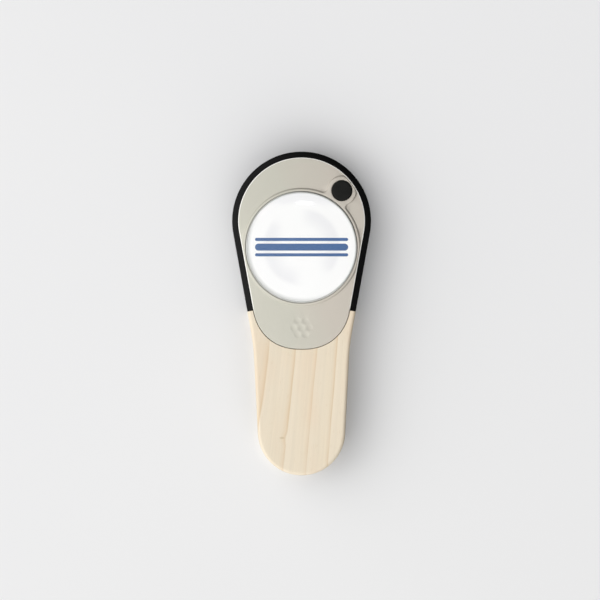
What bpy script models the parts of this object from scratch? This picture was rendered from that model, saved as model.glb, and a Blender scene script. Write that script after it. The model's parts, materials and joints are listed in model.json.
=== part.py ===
"""A push-button divot repair tool: a pear-shaped handle with a two-pronged fork that folds inside it.

The tool lies on its back. +X is to the right, +Y points to the head, +Z comes out of the front face.
The origin is on the axis of the ball marker, in the plane of the back face.
Everything is in metres, and MM is one millimetre.
"""

from math import acos, asin, atan2, cos, pi, radians, sin, tan, tau

import bmesh
import bpy
from mathutils import Vector
from mathutils.geometry import delaunay_2d_cdt

MM = 0.001

# Pear-shaped outline: a round head, straight flanks, a slight waist and a round end.
HEAD_R = 19.9 * MM
HEAD_CENTRE = Vector((0, 7.5 * MM))
FLANK_TILT = radians(10.3)
WAIST_TOP_Y = -24 * MM
WAIST_R = 60 * MM
HANDLE_TILT = radians(2.9)
CAP_TOP_Y = -53.4 * MM

# Black band that edges the head, and the light bolster inside it.
BAND_END_Y = -18.3 * MM
BAND_W = 1.68 * MM
BOLSTER_EDGE = 1.8 * MM
BOLSTER_END_CENTRE_Y = -13.6 * MM
BOLSTER_END_Y = -29.1 * MM
BOLSTER_END_TOP_Y = -17.6 * MM
BOLSTER_END_POWER = 2.3
WOOD_GAP = 0.12 * MM
WOOD_CORNER_SHARE = 0.04

# Layers, from the back face to the front face, with a hair gap where two lie on each other.
HAIR = 0.06 * MM
REAR_SKIN = 2.6 * MM
LINER = 1.2 * MM
BAY = 3.3 * MM
FRONT_SKIN = 3.4 * MM
Z_REAR_LINER = REAR_SKIN + HAIR
Z_BAY = Z_REAR_LINER + LINER
Z_FRONT_LINER = Z_BAY + BAY
Z_FRONT_SKIN = Z_FRONT_LINER + LINER + HAIR
Z_FACE = Z_FRONT_SKIN + FRONT_SKIN
BAND_BELOW_FACE = 0.5 * MM
BAND_ROUND = 0.7 * MM
EDGE_BREAK = 0.2 * MM
WOOD_ROUND = 1.0 * MM
WOOD_ROUND_STEPS = 3

# Ball marker, its recess, the raised rim round it and the magnet under it.
MARKER_R = 15.875 * MM
RECESS_R = 16.03 * MM
RIM_R = 16.65 * MM
RIM_H = 0.4 * MM
RIM_SLOPE = 0.15 * MM
RECESS_DEPTH = 2.0 * MM
MARKER_EDGE_H = 1.82 * MM
COIN_LIP = 0.2 * MM
COIN_H = 1.45 * MM
LABEL_H = 0.15 * MM
DOME_EDGE_H = 0.15 * MM
DOME_RISE = 0.6 * MM
MAGNET_R = 5 * MM
MAGNET_H = 1.1 * MM

# Fork, its pivot and the lock.
PIVOT = Vector((0, 12 * MM))
BARREL_R = 2.5 * MM
RUNNING_GAP = 0.06 * MM
FORK_T = 2.5 * MM
TANG_R = 9.5 * MM
LOCK_LIP_R = 10.4 * MM
LOCK_LIP_H = 0.65 * MM
LOCK_LIP_SINK = 0.5 * MM
LOCK_GAP = 0.1 * MM
SHANK_HALF_W = 6.4 * MM
FORK_LENGTH = 62 * MM
CROTCH_Y = -31 * MM
WASHER_T = 0.28 * MM
REAR_WASHER_R = 8.8 * MM
FRONT_WASHER_R = 7.5 * MM
SPRING_POCKET_R = 4.7 * MM
SPRING_POCKET_DEPTH = 1.35 * MM
PEG_R = 0.35 * MM
PEG_RADIUS = 4.2 * MM
PEG_ANGLE = radians(150)
PEG_FOOT = 0.2 * MM
PEG_LENGTH = 1.8 * MM
SPRING_T = 0.2 * MM
SPRING_TURNS = 2.5

# Button and lock plunger.
BUTTON = Vector((11.5 * MM, 16.13 * MM))
BUTTON_R = 2.85 * MM
BUTTON_HOLE_R = 2.98 * MM
BUTTON_PROUD = 0.6 * MM
BUTTON_TRAVEL = 1.0 * MM
BUTTON_ROOM = 0.2 * MM
FLANGE_R = 3.3 * MM
FLANGE_H = 0.5 * MM
FLANGE_ROOM = 0.15 * MM
BOSS_R = 4.1 * MM
BOSS_FILLET = 1.2 * MM
NECK_R = 1.0 * MM
NECK_SINK = 0.4 * MM
COLLAR_R = 2.2 * MM
COLLAR_H = 2.2 * MM
COLLAR_HOLE_R = 2.4 * MM
BUTTON_SPRING_FLOOR = 0.8 * MM

# Fasteners.
SCREW_R = 0.8 * MM
SCREW_HOLE_R = 0.9 * MM
SCREW_HEAD_R = 1.45 * MM
SCREW_HEAD_H = 1.0 * MM
SCREW_SINK = 0.25 * MM
SCREW_TIP_Z = 10.4 * MM
SCREW_TIP_ROOM = 0.3 * MM
COUNTERBORE_R = 1.6 * MM
INSERT_R = 1.5 * MM
INSERT_LENGTH = 2.3 * MM
INSERT_ROOM = 0.26 * MM
REAR_THREAD_DEPTH = 1.9 * MM
STANDOFF_R = 1.7 * MM
BARREL_HEAD_R = 3.5 * MM
BARREL_HEAD_H = 0.75 * MM
BARREL_HEAD_ROOM = 0.2 * MM
PIVOT_SCREW_R = 1.2 * MM
PIVOT_SCREW_HEAD_R = 3.1 * MM
TOP_SCREW = Vector((8.6 * MM, 20.9 * MM))
SIDE_SCREW = Vector((11.2 * MM, -19 * MM))
WOOD_SCREWS = [Vector((10 * MM, -37 * MM)), Vector((6 * MM, -57 * MM)), Vector((-6 * MM, -57 * MM))]
LINER_SCREWS_METAL = [Vector((-12.6 * MM, 15.5 * MM)), Vector((-11.2 * MM, -19 * MM))]
LINER_SCREW_WOOD = Vector((-9.5 * MM, -37 * MM))
STOP_PIN = Vector((8.4 * MM, -2 * MM))
SPACER_TOP_Y = 8 * MM
SPACER_INNER_X = 8.3 * MM
SPACER_INNER_TOP_Y = -12 * MM
SPACER_FLOOR_Y = -51.5 * MM
SPACER_HEAD_W = 5 * MM
SPACER_SINK = 0.15 * MM

HEAD_STEPS = 36
CAP_STEPS = 28
WAIST_STEPS = 4
ROUND_STEPS = 12
BORE_STEPS = 24
RECESS_STEPS = 48


# ---------------------------------------------------------------- outlines


def polar(radius, angle):
    return Vector((radius * cos(angle), radius * sin(angle)))


def arc(centre, radius, start, end, steps):
    """Points from angle start to angle end, both included."""
    return [centre + polar(radius, start + (end - start) * i / steps) for i in range(steps + 1)]


def circle(centre, radius, steps):
    return arc(centre, radius, 0, tau * (1 - 1 / steps), steps - 1)


def mirrored(points):
    """The same run on the other side of the Y axis, walked the other way."""
    return [Vector((-p.x, p.y)) for p in reversed(points)]


def inset(points, distance, closed=True):
    """Moves each point to the left of its path, so a loop that runs anticlockwise shrinks."""
    moved = []
    count = len(points)
    for i, point in enumerate(points):
        before = points[i - 1] if closed or i > 0 else None
        after = points[(i + 1) % count] if closed or i < count - 1 else None
        sides = [(point - before).normalized()] if before is not None else []
        sides += [(after - point).normalized()] if after is not None else []
        lefts = [Vector((-side.y, side.x)) for side in sides]
        mitre = (lefts[0] + lefts[-1]) / (1 + lefts[0].dot(lefts[-1]))
        moved.append(point + mitre * distance)
    return moved


def flank_normal(tilt):
    return Vector((cos(tilt), -sin(tilt)))


HEAD_TANGENT = HEAD_CENTRE + HEAD_R * flank_normal(FLANK_TILT)
FLANK_DIRECTION = Vector((-sin(FLANK_TILT), -cos(FLANK_TILT)))


def flank_x(y):
    return HEAD_TANGENT.x - (HEAD_TANGENT.y - y) * tan(FLANK_TILT)


def flank_point(y):
    """A point on the straight right-hand flank."""
    return Vector((flank_x(y), y))


def waist():
    """The right-hand waist curve, from the handle up to the flank."""
    centre = flank_point(WAIST_TOP_Y) + WAIST_R * flank_normal(FLANK_TILT)
    return arc(centre, WAIST_R, pi - HANDLE_TILT, pi - FLANK_TILT, WAIST_STEPS)


def head_run():
    """The outline from the band's right-hand end, over the head, to its left-hand end."""
    over = arc(HEAD_CENTRE, HEAD_R, -FLANK_TILT, pi + FLANK_TILT, HEAD_STEPS)
    band_end = [flank_point(BAND_END_Y)]
    return band_end + over + mirrored(band_end)


def handle_run(top_y):
    """The outline from top_y on the left, round the handle's end, to top_y on the right."""
    right = waist() + [flank_point(top_y)]
    waist_end = right[0]
    below = waist_end.y - CAP_TOP_Y
    cap_start = waist_end + Vector((-below * tan(HANDLE_TILT), -below))
    cap_r = cap_start.x / cos(HANDLE_TILT)
    cap_centre = Vector((0, cap_start.y + cap_r * sin(HANDLE_TILT)))
    cap = arc(cap_centre, cap_r, -pi + HANDLE_TILT, -HANDLE_TILT, CAP_STEPS)
    return mirrored(right) + cap + right


def bolster_end(grow, start_share, steps):
    """The bolster's rounded lower end, a superellipse, from its left side to its right side."""
    depth = BOLSTER_END_CENTRE_Y - BOLSTER_END_Y
    share = (BOLSTER_END_CENTRE_Y - BOLSTER_END_TOP_Y) / depth
    top_x = flank_x(BOLSTER_END_TOP_Y) - BOLSTER_EDGE / cos(FLANK_TILT)
    half_w = top_x / (1 - share**BOLSTER_END_POWER) ** (1 / BOLSTER_END_POWER)
    start = asin(start_share ** (BOLSTER_END_POWER / 2))
    points = []
    for i in range(steps + 1):
        angle = start + (pi - 2 * start) * i / steps
        across = abs(cos(angle)) ** (2 / BOLSTER_END_POWER)
        down = sin(angle) ** (2 / BOLSTER_END_POWER)
        side = 1 if cos(angle) < 0 else -1
        points.append(Vector((side * half_w * across, BOLSTER_END_CENTRE_Y - depth * down)))
    return inset(points, -grow, closed=False)


def bolster_loop():
    """The bolster's outline, inside the band and rounded below."""
    radius = HEAD_R - BOLSTER_EDGE
    head = arc(HEAD_CENTRE, radius, -FLANK_TILT, pi + FLANK_TILT, HEAD_STEPS)
    share = (BOLSTER_END_CENTRE_Y - BOLSTER_END_TOP_Y) / (BOLSTER_END_CENTRE_Y - BOLSTER_END_Y)
    return head + bolster_end(0, share, CAP_STEPS)


def wood_runs():
    """The wood's outer run round the handle, and its inner run along the bolster's end."""
    outer = handle_run(BAND_END_Y - WOOD_GAP)
    corner = outer[-1] - flank_normal(FLANK_TILT) * (BOLSTER_EDGE - WOOD_GAP)
    left_corner = Vector((-corner.x, corner.y))
    share = (BOLSTER_END_CENTRE_Y - corner.y) / (BOLSTER_END_CENTRE_Y - BOLSTER_END_Y)
    curve = bolster_end(WOOD_GAP, share + WOOD_CORNER_SHARE, CAP_STEPS)
    return outer, [corner] + list(reversed(curve)) + [left_corner]


def keyhole_loop():
    """The raised rim's outline: a ring round the marker and a boss round the button, with fillets.

    It is cut off where it would come too near to the bolster's edge.
    """
    reach = RIM_R + BOSS_FILLET
    near = BOSS_R + BOSS_FILLET
    distance = BUTTON.length
    towards = atan2(BUTTON.y, BUTTON.x)
    spread = acos((reach**2 + distance**2 - near**2) / (2 * reach * distance))
    first = polar(reach, towards - spread)
    last = polar(reach, towards + spread)
    first_angle = atan2(BUTTON.y - first.y, BUTTON.x - first.x)
    last_angle = atan2(BUTTON.y - last.y, BUTTON.x - last.x)
    ring = arc(Vector((0, 0)), RIM_R, towards + spread, towards - spread + tau, RECESS_STEPS)
    boss = arc(first, BOSS_FILLET, towards - spread + pi, first_angle, 3)[1:]
    boss += arc(BUTTON, BOSS_R, first_angle - pi, last_angle + pi, 14)[1:]
    boss += arc(last, BOSS_FILLET, last_angle, towards + spread - pi, 3)[1:-1]
    return [inside_bolster(point) for point in ring + boss]


def inside_bolster(point):
    """The point, moved in from the bolster's edge if it is too near to it."""
    limit = HEAD_R - BOLSTER_EDGE - EDGE_BREAK - HAIR
    offset = point - HEAD_CENTRE
    side = 1 if offset.x > 0 else -1
    normal = Vector((side * cos(FLANK_TILT), -sin(FLANK_TILT)))
    is_on_flank = offset.dot(Vector((side * FLANK_DIRECTION.x, FLANK_DIRECTION.y))) > 0
    if is_on_flank:
        return point - normal * max(0, offset.dot(normal) - limit)
    return HEAD_CENTRE + offset * min(1, limit / offset.length)


# ---------------------------------------------------------------- mesh building


def add_loop(bm, points, z):
    return [bm.verts.new((p.x, p.y, z)) for p in points]


def bridge(bm, lower, upper, closed=True):
    """Quads between two loops, or two open runs, that have the same number of points."""
    count = len(lower)
    for i in range(count if closed else count - 1):
        j = (i + 1) % count
        bm.faces.new((lower[i], lower[j], upper[j], upper[i]))


def goes_round(loop, point):
    """Whether a closed loop of points goes round a point."""
    crossings = 0
    for i, start in enumerate(loop):
        end = loop[i - 1]
        if (start.y > point.y) != (end.y > point.y):
            share = (point.y - start.y) / (end.y - start.y)
            crossings += point.x < start.x + (end.x - start.x) * share
    return crossings % 2 == 1


def fill(bm, *loops):
    """Flat triangles over the first loop, open inside the others."""
    verts = [vert for loop in loops for vert in loop]
    points = [vert.co.xy for vert in verts]
    outlines = []
    edges = []
    for loop in loops:
        first = len(edges)
        outlines.append(points[first : first + len(loop)])
        edges += [(first + i, first + (i + 1) % len(loop)) for i in range(len(loop))]
    triangles = delaunay_2d_cdt(points, edges, [], 0, 1e-9)[2]
    for triangle in triangles:
        middle = sum((points[corner] for corner in triangle), Vector((0, 0))) / 3
        if sum(goes_round(outline, middle) for outline in outlines) == 1:
            bm.faces.new([verts[corner] for corner in triangle])


def walls(bm, levels):
    """Walls through a list of (points, z). Returns the first loop and the last."""
    loops = [add_loop(bm, points, z) for points, z in levels]
    for lower, upper in zip(loops, loops[1:]):
        bridge(bm, lower, upper)
    return loops[0], loops[-1]


def bore(bm, centre, levels, steps=ROUND_STEPS, is_blind=False):
    """Round walls through a list of (radius, z). Returns the mouth's loop and the far end's."""
    mouth, end = walls(bm, [(circle(centre, radius, steps), z) for radius, z in levels])
    if is_blind:
        bm.faces.new(end)
    return mouth, end


def make_mesh(name, bm, material):
    """Turns the bmesh into a mesh, smooth on its round faces."""
    bmesh.ops.recalc_face_normals(bm, faces=bm.faces)
    mesh = bpy.data.meshes.new(name)
    bm.to_mesh(mesh)
    bm.free()
    mesh.shade_smooth()
    mesh.set_sharp_from_angle(angle=radians(30))
    mesh.materials.append(material)
    return mesh


def finish(name, bm, material, location=(0, 0, 0), parent=None):
    return place(name, make_mesh(name, bm, material), location, parent)


def place(name, mesh, location=(0, 0, 0), parent=None):
    obj = bpy.data.objects.new(name, mesh)
    obj.location = location
    obj.parent = parent
    bpy.context.scene.collection.objects.link(obj)
    return obj


def turned(name, levels, material, location=(0, 0, 0), parent=None, steps=ROUND_STEPS):
    """A solid of revolution about Z from a list of (radius, z), closed at both ends."""
    bm = bmesh.new()
    first, last = bore(bm, Vector((0, 0)), levels, steps)
    bm.faces.new(first)
    bm.faces.new(last)
    return finish(name, bm, material, location, parent)


def tube(name, outer, inner, height, material, location, parent=None, steps=ROUND_STEPS):
    """A straight tube standing on z = 0."""
    bm = bmesh.new()
    centre = Vector((0, 0))
    inner_low, inner_high = bore(bm, centre, [(inner, 0), (inner, height)], steps)
    outer_low, outer_high = bore(bm, centre, [(outer, 0), (outer, height)], steps)
    bridge(bm, inner_low, outer_low)
    bridge(bm, inner_high, outer_high)
    return finish(name, bm, material, location, parent)


def empty(name, location):
    obj = bpy.data.objects.new(name, None)
    obj.location = location
    bpy.context.scene.collection.objects.link(obj)
    return obj


def linear(value):
    """One sRGB channel, 0 to 255, as the linear value that Blender's shaders take."""
    share = value / 255
    return share / 12.92 if share <= 0.04045 else ((share + 0.055) / 1.055) ** 2.4


def make_material(name, srgb, roughness, metallic=0.0, alpha=1.0):
    material = bpy.data.materials.new(name)
    material.use_nodes = True
    shader = material.node_tree.nodes["Principled BSDF"]
    shader.inputs["Base Color"].default_value = (*(linear(channel) for channel in srgb), 1)
    shader.inputs["Roughness"].default_value = roughness
    shader.inputs["Metallic"].default_value = metallic
    shader.inputs["Alpha"].default_value = alpha
    return material


# ---------------------------------------------------------------- handle


def bolster_walls(bm, height, outward):
    """The bolster's side wall, from its inner face at z = 0. Returns its inner and outer loops."""
    loop = bolster_loop()
    broken = inset(loop, EDGE_BREAK)
    return walls(bm, [(loop, 0), (loop, outward * (height - EDGE_BREAK)), (broken, outward * height)])


def front_bolster(material):
    """Face plate of the head, with the marker's recess, the magnet's pocket and the button's hole."""
    bm = bmesh.new()
    bottom, top = bolster_walls(bm, FRONT_SKIN, 1)
    rim_top_z = FRONT_SKIN + RIM_H
    floor_z = rim_top_z - RECESS_DEPTH
    magnet_z = floor_z - MAGNET_H - HAIR
    magnet_r = MAGNET_R + RUNNING_GAP
    rim = keyhole_loop()
    rim_foot, rim_top = walls(bm, [(rim, FRONT_SKIN), (inset(rim, RIM_SLOPE), rim_top_z)])
    recess_levels = [(RECESS_R, rim_top_z), (RECESS_R, floor_z)]
    recess, recess_end = bore(bm, Vector((0, 0)), recess_levels, RECESS_STEPS)
    pocket = [(magnet_r, floor_z), (magnet_r, magnet_z)]
    pocket_mouth, _ = bore(bm, Vector((0, 0)), pocket, BORE_STEPS, is_blind=True)
    fill(bm, recess_end, pocket_mouth)
    flange_z = button_flange_z() - Z_FRONT_SKIN + FLANGE_H + 2 * HAIR
    flange_r = FLANGE_R + FLANGE_ROOM
    button_levels = [
        (flange_r, 0),
        (flange_r, flange_z),
        (BUTTON_HOLE_R, flange_z),
        (BUTTON_HOLE_R, rim_top_z),
    ]
    button_foot, button_mouth = bore(bm, BUTTON, button_levels, BORE_STEPS)
    barrel_r = BARREL_HEAD_R + BARREL_HEAD_ROOM
    barrel_levels = [(barrel_r, 0), (barrel_r, BARREL_HEAD_H + 2 * HAIR)]
    feet = [button_foot, bore(bm, PIVOT, barrel_levels, BORE_STEPS, is_blind=True)[0]]
    thread_r = SCREW_R + RUNNING_GAP
    thread = [(thread_r, 0), (thread_r, SCREW_TIP_Z - Z_FRONT_SKIN + SCREW_TIP_ROOM)]
    for centre in [TOP_SCREW, SIDE_SCREW] + LINER_SCREWS_METAL:
        feet.append(bore(bm, centre, thread, is_blind=True)[0])
    fill(bm, bottom, *feet)
    fill(bm, top, rim_foot)
    fill(bm, rim_top, recess, button_mouth)
    return finish("front_bolster", bm, material, (0, 0, Z_FRONT_SKIN))


def well(hole_r, head_r):
    """Levels of a counterbored screw hole through the rear skin, from its inner face outwards."""
    seat = SCREW_SINK + SCREW_HEAD_H + HAIR - REAR_SKIN
    return [(hole_r, 0), (hole_r, seat), (head_r, seat), (head_r, -REAR_SKIN)]


def blind(radius, depth):
    """Levels of a blind hole of the rear skin, from its inner face outwards."""
    return [(radius, 0), (radius, -depth)]


def rear_bolster(material):
    """Back plate of the head. It takes the pivot screw, two body screws and the button's spring."""
    bm = bmesh.new()
    inner_face, outer_face = bolster_walls(bm, REAR_SKIN, -1)
    screw_levels = well(SCREW_HOLE_R, COUNTERBORE_R)
    head_gap = COUNTERBORE_R - SCREW_HEAD_R
    pivot_levels = well(PIVOT_SCREW_R + SCREW_HOLE_R - SCREW_R, PIVOT_SCREW_HEAD_R + head_gap)
    through = [bore(bm, centre, screw_levels) for centre in (TOP_SCREW, SIDE_SCREW)]
    through.append(bore(bm, PIVOT, pivot_levels, BORE_STEPS))
    spring_seat = blind(COLLAR_HOLE_R, REAR_SKIN - BUTTON_SPRING_FLOOR)
    sunk = [bore(bm, BUTTON, spring_seat, BORE_STEPS, is_blind=True)[0]]
    thread = blind(SCREW_R + RUNNING_GAP, REAR_THREAD_DEPTH)
    sunk += [bore(bm, centre, thread, is_blind=True)[0] for centre in LINER_SCREWS_METAL]
    fill(bm, inner_face, *(inner for inner, _ in through), *sunk)
    fill(bm, outer_face, *(outer for _, outer in through))
    return finish("rear_bolster", bm, material, (0, 0, REAR_SKIN))


def wood_walls(bm, height, outward):
    """The wood scale's side wall, from its inner face at z = 0. Returns its inner and outer loops."""
    outer, inner = wood_runs()
    levels = [(0, 0)]
    for i in range(WOOD_ROUND_STEPS + 1):
        angle = pi / 2 * i / WOOD_ROUND_STEPS
        levels.append((WOOD_ROUND * (1 - cos(angle)), height - WOOD_ROUND * (1 - sin(angle))))
    return walls(bm, [(inset(outer, pull, closed=False) + inner, outward * z) for pull, z in levels])


def front_wood_scale(material):
    """Front half of the wooden handle, with blind holes for threaded inserts."""
    bm = bmesh.new()
    inner_face, outer_face = wood_walls(bm, FRONT_SKIN, 1)
    socket = INSERT_R + RUNNING_GAP
    levels = [(socket, 0), (socket, INSERT_LENGTH + INSERT_ROOM)]
    mouths = [bore(bm, centre, levels, is_blind=True)[0] for centre in WOOD_SCREWS + [LINER_SCREW_WOOD]]
    fill(bm, inner_face, *mouths)
    fill(bm, outer_face)
    return finish("front_wood_scale", bm, material, (0, 0, Z_FRONT_SKIN))


def rear_wood_scale(material):
    """Rear half of the wooden handle, counterbored for the body screws."""
    bm = bmesh.new()
    inner_face, outer_face = wood_walls(bm, REAR_SKIN, -1)
    screw_levels = well(SCREW_HOLE_R, COUNTERBORE_R)
    through = [bore(bm, centre, screw_levels) for centre in WOOD_SCREWS]
    socket = blind(INSERT_R + RUNNING_GAP, REAR_THREAD_DEPTH)
    mouth, _ = bore(bm, LINER_SCREW_WOOD, socket, is_blind=True)
    fill(bm, inner_face, *(inner for inner, _ in through), mouth)
    fill(bm, outer_face, *(outer for _, outer in through))
    return finish("rear_wood_scale", bm, material, (0, 0, REAR_SKIN))


def frame(name, band_height, button_hole_r, outward, location, material):
    """A black liner plate with the head's band standing on its outer side.

    It is drawn outwards from the bay, and outward is 1 for the front frame and -1 for the rear one.
    """
    bm = bmesh.new()
    head = head_run()
    handle = handle_run(BAND_END_Y)[1:-1]
    foot = add_loop(bm, head + handle, 0)
    shelf = add_loop(bm, head + handle, outward * LINER)
    bridge(bm, foot, shelf)
    band_foot = add_loop(bm, inset(head, BAND_W, closed=False), outward * LINER)
    outer, inner = shelf[: len(head)], band_foot
    half_way = BAND_ROUND * (1 - cos(pi / 4))
    levels = [(0, band_height - BAND_ROUND), (half_way, band_height - half_way), (BAND_ROUND, band_height)]
    for pull, z in levels:
        next_outer = add_loop(bm, inset(head, pull, closed=False), outward * z)
        next_inner = add_loop(bm, inset(head, BAND_W, closed=False), outward * z)
        bridge(bm, outer, next_outer, closed=False)
        bridge(bm, inner, next_inner, closed=False)
        for end in (0, -1):
            bm.faces.new((outer[end], next_outer[end], next_inner[end], inner[end]))
        outer, inner = next_outer, next_inner
    bridge(bm, outer, inner, closed=False)
    holes = liner_holes(button_hole_r)
    feet, tops = [], []
    for centre, near_r, far_r, steps in holes:
        near, far = bore(bm, centre, [(near_r, 0), (far_r, outward * LINER)], steps)
        feet.append(near)
        tops.append(far)
    fill(bm, foot, *feet)
    handle_shelf = [shelf[len(head) - 1]] + shelf[len(head) :] + [shelf[0]]
    fill(bm, handle_shelf + band_foot, *tops)
    return finish(name, bm, material, location)


def liner_holes(button_hole_r):
    """Each hole of a liner as (centre, radius at the bay, radius at the skin, steps)."""
    pivot_r = BARREL_R + RUNNING_GAP
    holes = [(PIVOT, pivot_r, pivot_r, BORE_STEPS), (BUTTON, button_hole_r, button_hole_r, BORE_STEPS)]
    holes += [(centre, SCREW_HOLE_R, SCREW_HOLE_R, ROUND_STEPS) for centre in body_screw_places()]
    countersink = liner_screw_head_r() + RUNNING_GAP
    holes += [(centre, countersink, SCREW_HOLE_R, ROUND_STEPS) for centre in liner_screw_places()]
    holes.append((STOP_PIN, SCREW_HOLE_R, SCREW_HOLE_R, ROUND_STEPS))
    return holes


def spacer(material):
    """J-shaped spacer that closes the bay on the right and round the handle's end."""
    top = HEAD_CENTRE + polar(HEAD_R, asin((SPACER_TOP_Y - HEAD_CENTRE.y) / HEAD_R))
    outline = handle_run(BAND_END_Y)
    floor = [p for p in outline if p.y < SPACER_FLOOR_Y]
    right = [p for p in outline if p.x > 0 and p.y >= SPACER_FLOOR_Y]
    head = [p for p in head_run() if p.x > 0 and BAND_END_Y + HAIR < p.y < SPACER_TOP_Y - HAIR]
    inner_floor = Vector((SPACER_INNER_X, SPACER_FLOOR_Y))
    inner_waist = Vector((SPACER_INNER_X, SPACER_INNER_TOP_Y))
    shoulder = Vector((top.x - SPACER_HEAD_W, SPACER_TOP_Y))
    outer = inset(floor + right + head + [top], SPACER_SINK, closed=False)
    loop = outer + [shoulder, inner_waist, inner_floor]
    height = BAY - 2 * HAIR
    bm = bmesh.new()
    bottom, upper = walls(bm, [(loop, 0), (loop, height)])
    lower_loops, upper_loops = [bottom], [upper]
    for centre in [SIDE_SCREW] + WOOD_SCREWS:
        low, high = bore(bm, centre, [(SCREW_HOLE_R, 0), (SCREW_HOLE_R, height)])
        lower_loops.append(low)
        upper_loops.append(high)
    fill(bm, *lower_loops)
    fill(bm, *upper_loops)
    return finish("spacer", bm, material, (0, 0, Z_BAY + HAIR))


# ---------------------------------------------------------------- fasteners


def body_screw_places():
    return [TOP_SCREW, SIDE_SCREW] + WOOD_SCREWS


def liner_screw_places():
    return LINER_SCREWS_METAL + [LINER_SCREW_WOOD]


def liner_screw_head_r():
    return SCREW_R + 0.6 * LINER


def add_drive(bm, head_loop, head_z, radius, depth, inward):
    """A hexagonal socket sunk in a screw's head. inward is the direction of its floor."""
    mouth, floor = bore(bm, Vector((0, 0)), [(radius, head_z), (radius, head_z + inward * depth)], 6)
    bm.faces.new(floor)
    fill(bm, head_loop, mouth)


def screw_mesh(name, levels, socket_r, socket_depth, material):
    """A screw drawn from its head's face, at z = 0, to its tip. Its thread is drawn plain."""
    bm = bmesh.new()
    head, tip = bore(bm, Vector((0, 0)), levels)
    bm.faces.new(tip)
    inward = 1 if levels[-1][1] > 0 else -1
    add_drive(bm, head, 0, socket_r, socket_depth, inward)
    return make_mesh(name, bm, material)


def body_screws(material):
    """Five screws that go in from the back and draw the whole sandwich together."""
    break_edge = 0.15 * MM
    length = SCREW_TIP_Z - SCREW_SINK
    levels = [
        (SCREW_HEAD_R - break_edge, 0),
        (SCREW_HEAD_R, break_edge),
        (SCREW_HEAD_R, SCREW_HEAD_H),
        (SCREW_R, SCREW_HEAD_H),
        (SCREW_R, length),
    ]
    mesh = screw_mesh("body_screw", levels, 0.75 * MM, 0.6 * MM, material)
    names = ["head_screw", "side_screw", "waist_screw", "end_screw_right", "end_screw_left"]
    for name, centre in zip(names, body_screw_places()):
        place(f"body_{name}", mesh, (centre.x, centre.y, SCREW_SINK))


def liner_screws(material):
    """Countersunk screws that hold each skin to its liner, driven from inside the bay."""
    for side, outward, z, length in (("front", 1, Z_FRONT_LINER, 2.9 * MM), ("rear", -1, Z_BAY, 2.7 * MM)):
        levels = [
            (liner_screw_head_r(), 0),
            (SCREW_R, outward * LINER * 0.9),
            (SCREW_R, outward * length),
        ]
        mesh = screw_mesh(f"{side}_liner_screw", levels, 0.55 * MM, 0.5 * MM, material)
        for number, centre in enumerate(liner_screw_places(), 1):
            place(f"{side}_liner_screw_{number}", mesh, (centre.x, centre.y, z + outward * HAIR))


def inserts(material):
    """Threaded brass inserts that give the screws a hold in the wood."""
    bore_r = SCREW_R + RUNNING_GAP
    for number, centre in enumerate(WOOD_SCREWS + [LINER_SCREW_WOOD], 1):
        location = (centre.x, centre.y, Z_FRONT_SKIN + HAIR)
        tube(f"front_insert_{number}", INSERT_R, bore_r, INSERT_LENGTH, material, location)
    rear_length = REAR_THREAD_DEPTH - 2 * HAIR
    location = (LINER_SCREW_WOOD.x, LINER_SCREW_WOOD.y, REAR_SKIN - REAR_THREAD_DEPTH + HAIR)
    tube("rear_insert", INSERT_R, bore_r, rear_length, material, location)


def stops(material):
    """The standoff by the head that stops the open fork, and the pin that stops the closed one."""
    height = BAY - 2 * HAIR
    location = (TOP_SCREW.x, TOP_SCREW.y, Z_BAY + HAIR)
    tube("open_stop_standoff", STANDOFF_R, SCREW_HOLE_R, height, material, location, steps=20)
    tenon_z = LINER - HAIR
    levels = [
        (SCREW_R, -tenon_z),
        (SCREW_R, HAIR),
        (STANDOFF_R, HAIR),
        (STANDOFF_R, BAY - HAIR),
        (SCREW_R, BAY - HAIR),
        (SCREW_R, BAY + tenon_z),
    ]
    turned("closed_stop_pin", levels, material, (STOP_PIN.x, STOP_PIN.y, Z_BAY), steps=20)


# ---------------------------------------------------------------- pivot and spring


def pivot_barrel(material):
    """Barrel nut that the fork turns on. Its head is under the front bolster."""
    foot_z = REAR_SKIN + 2 * HAIR
    shoulder_z = Z_FRONT_SKIN
    bore_r = PIVOT_SCREW_R + RUNNING_GAP
    bore_end = Z_FRONT_LINER + LINER / 2
    bm = bmesh.new()
    centre = Vector((0, 0))
    outer = [
        (BARREL_R, foot_z),
        (BARREL_R, shoulder_z),
        (BARREL_HEAD_R, shoulder_z),
        (BARREL_HEAD_R, shoulder_z + BARREL_HEAD_H),
    ]
    outer_foot, head = bore(bm, centre, outer, BORE_STEPS)
    inner_foot, _ = bore(bm, centre, [(bore_r, foot_z), (bore_r, bore_end)], BORE_STEPS, is_blind=True)
    bridge(bm, outer_foot, inner_foot)
    bm.faces.new(head)
    barrel = finish("pivot_barrel", bm, material, (PIVOT.x, PIVOT.y, 0))
    slot = barrel.modifiers.new("spring_slot", "BOOLEAN")
    slot.operation = "DIFFERENCE"
    slot.object = spring_slot_cutter()
    return barrel


def spring_slot_cutter():
    """Cuts the slot in the barrel that holds the inner end of the flat spring."""
    width, depth = 0.5 * MM, 0.75 * MM
    low = fork_z() - 0.1 * MM
    high = fork_z() + SPRING_POCKET_DEPTH
    bm = bmesh.new()
    bmesh.ops.create_cube(bm, size=1)
    for vert in bm.verts:
        vert.co.x = vert.co.x * 2 * depth + BARREL_R
        vert.co.y *= width
        vert.co.z = low if vert.co.z < 0 else high
    cutter = finish("spring_slot_cutter", bm, make_material("cutter", (128, 128, 128), 1))
    cutter.location = (PIVOT.x, PIVOT.y, 0)
    cutter.rotation_euler.z = spring_inner_angle()
    cutter.hide_render = True
    cutter.display_type = "WIRE"
    return cutter


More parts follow.
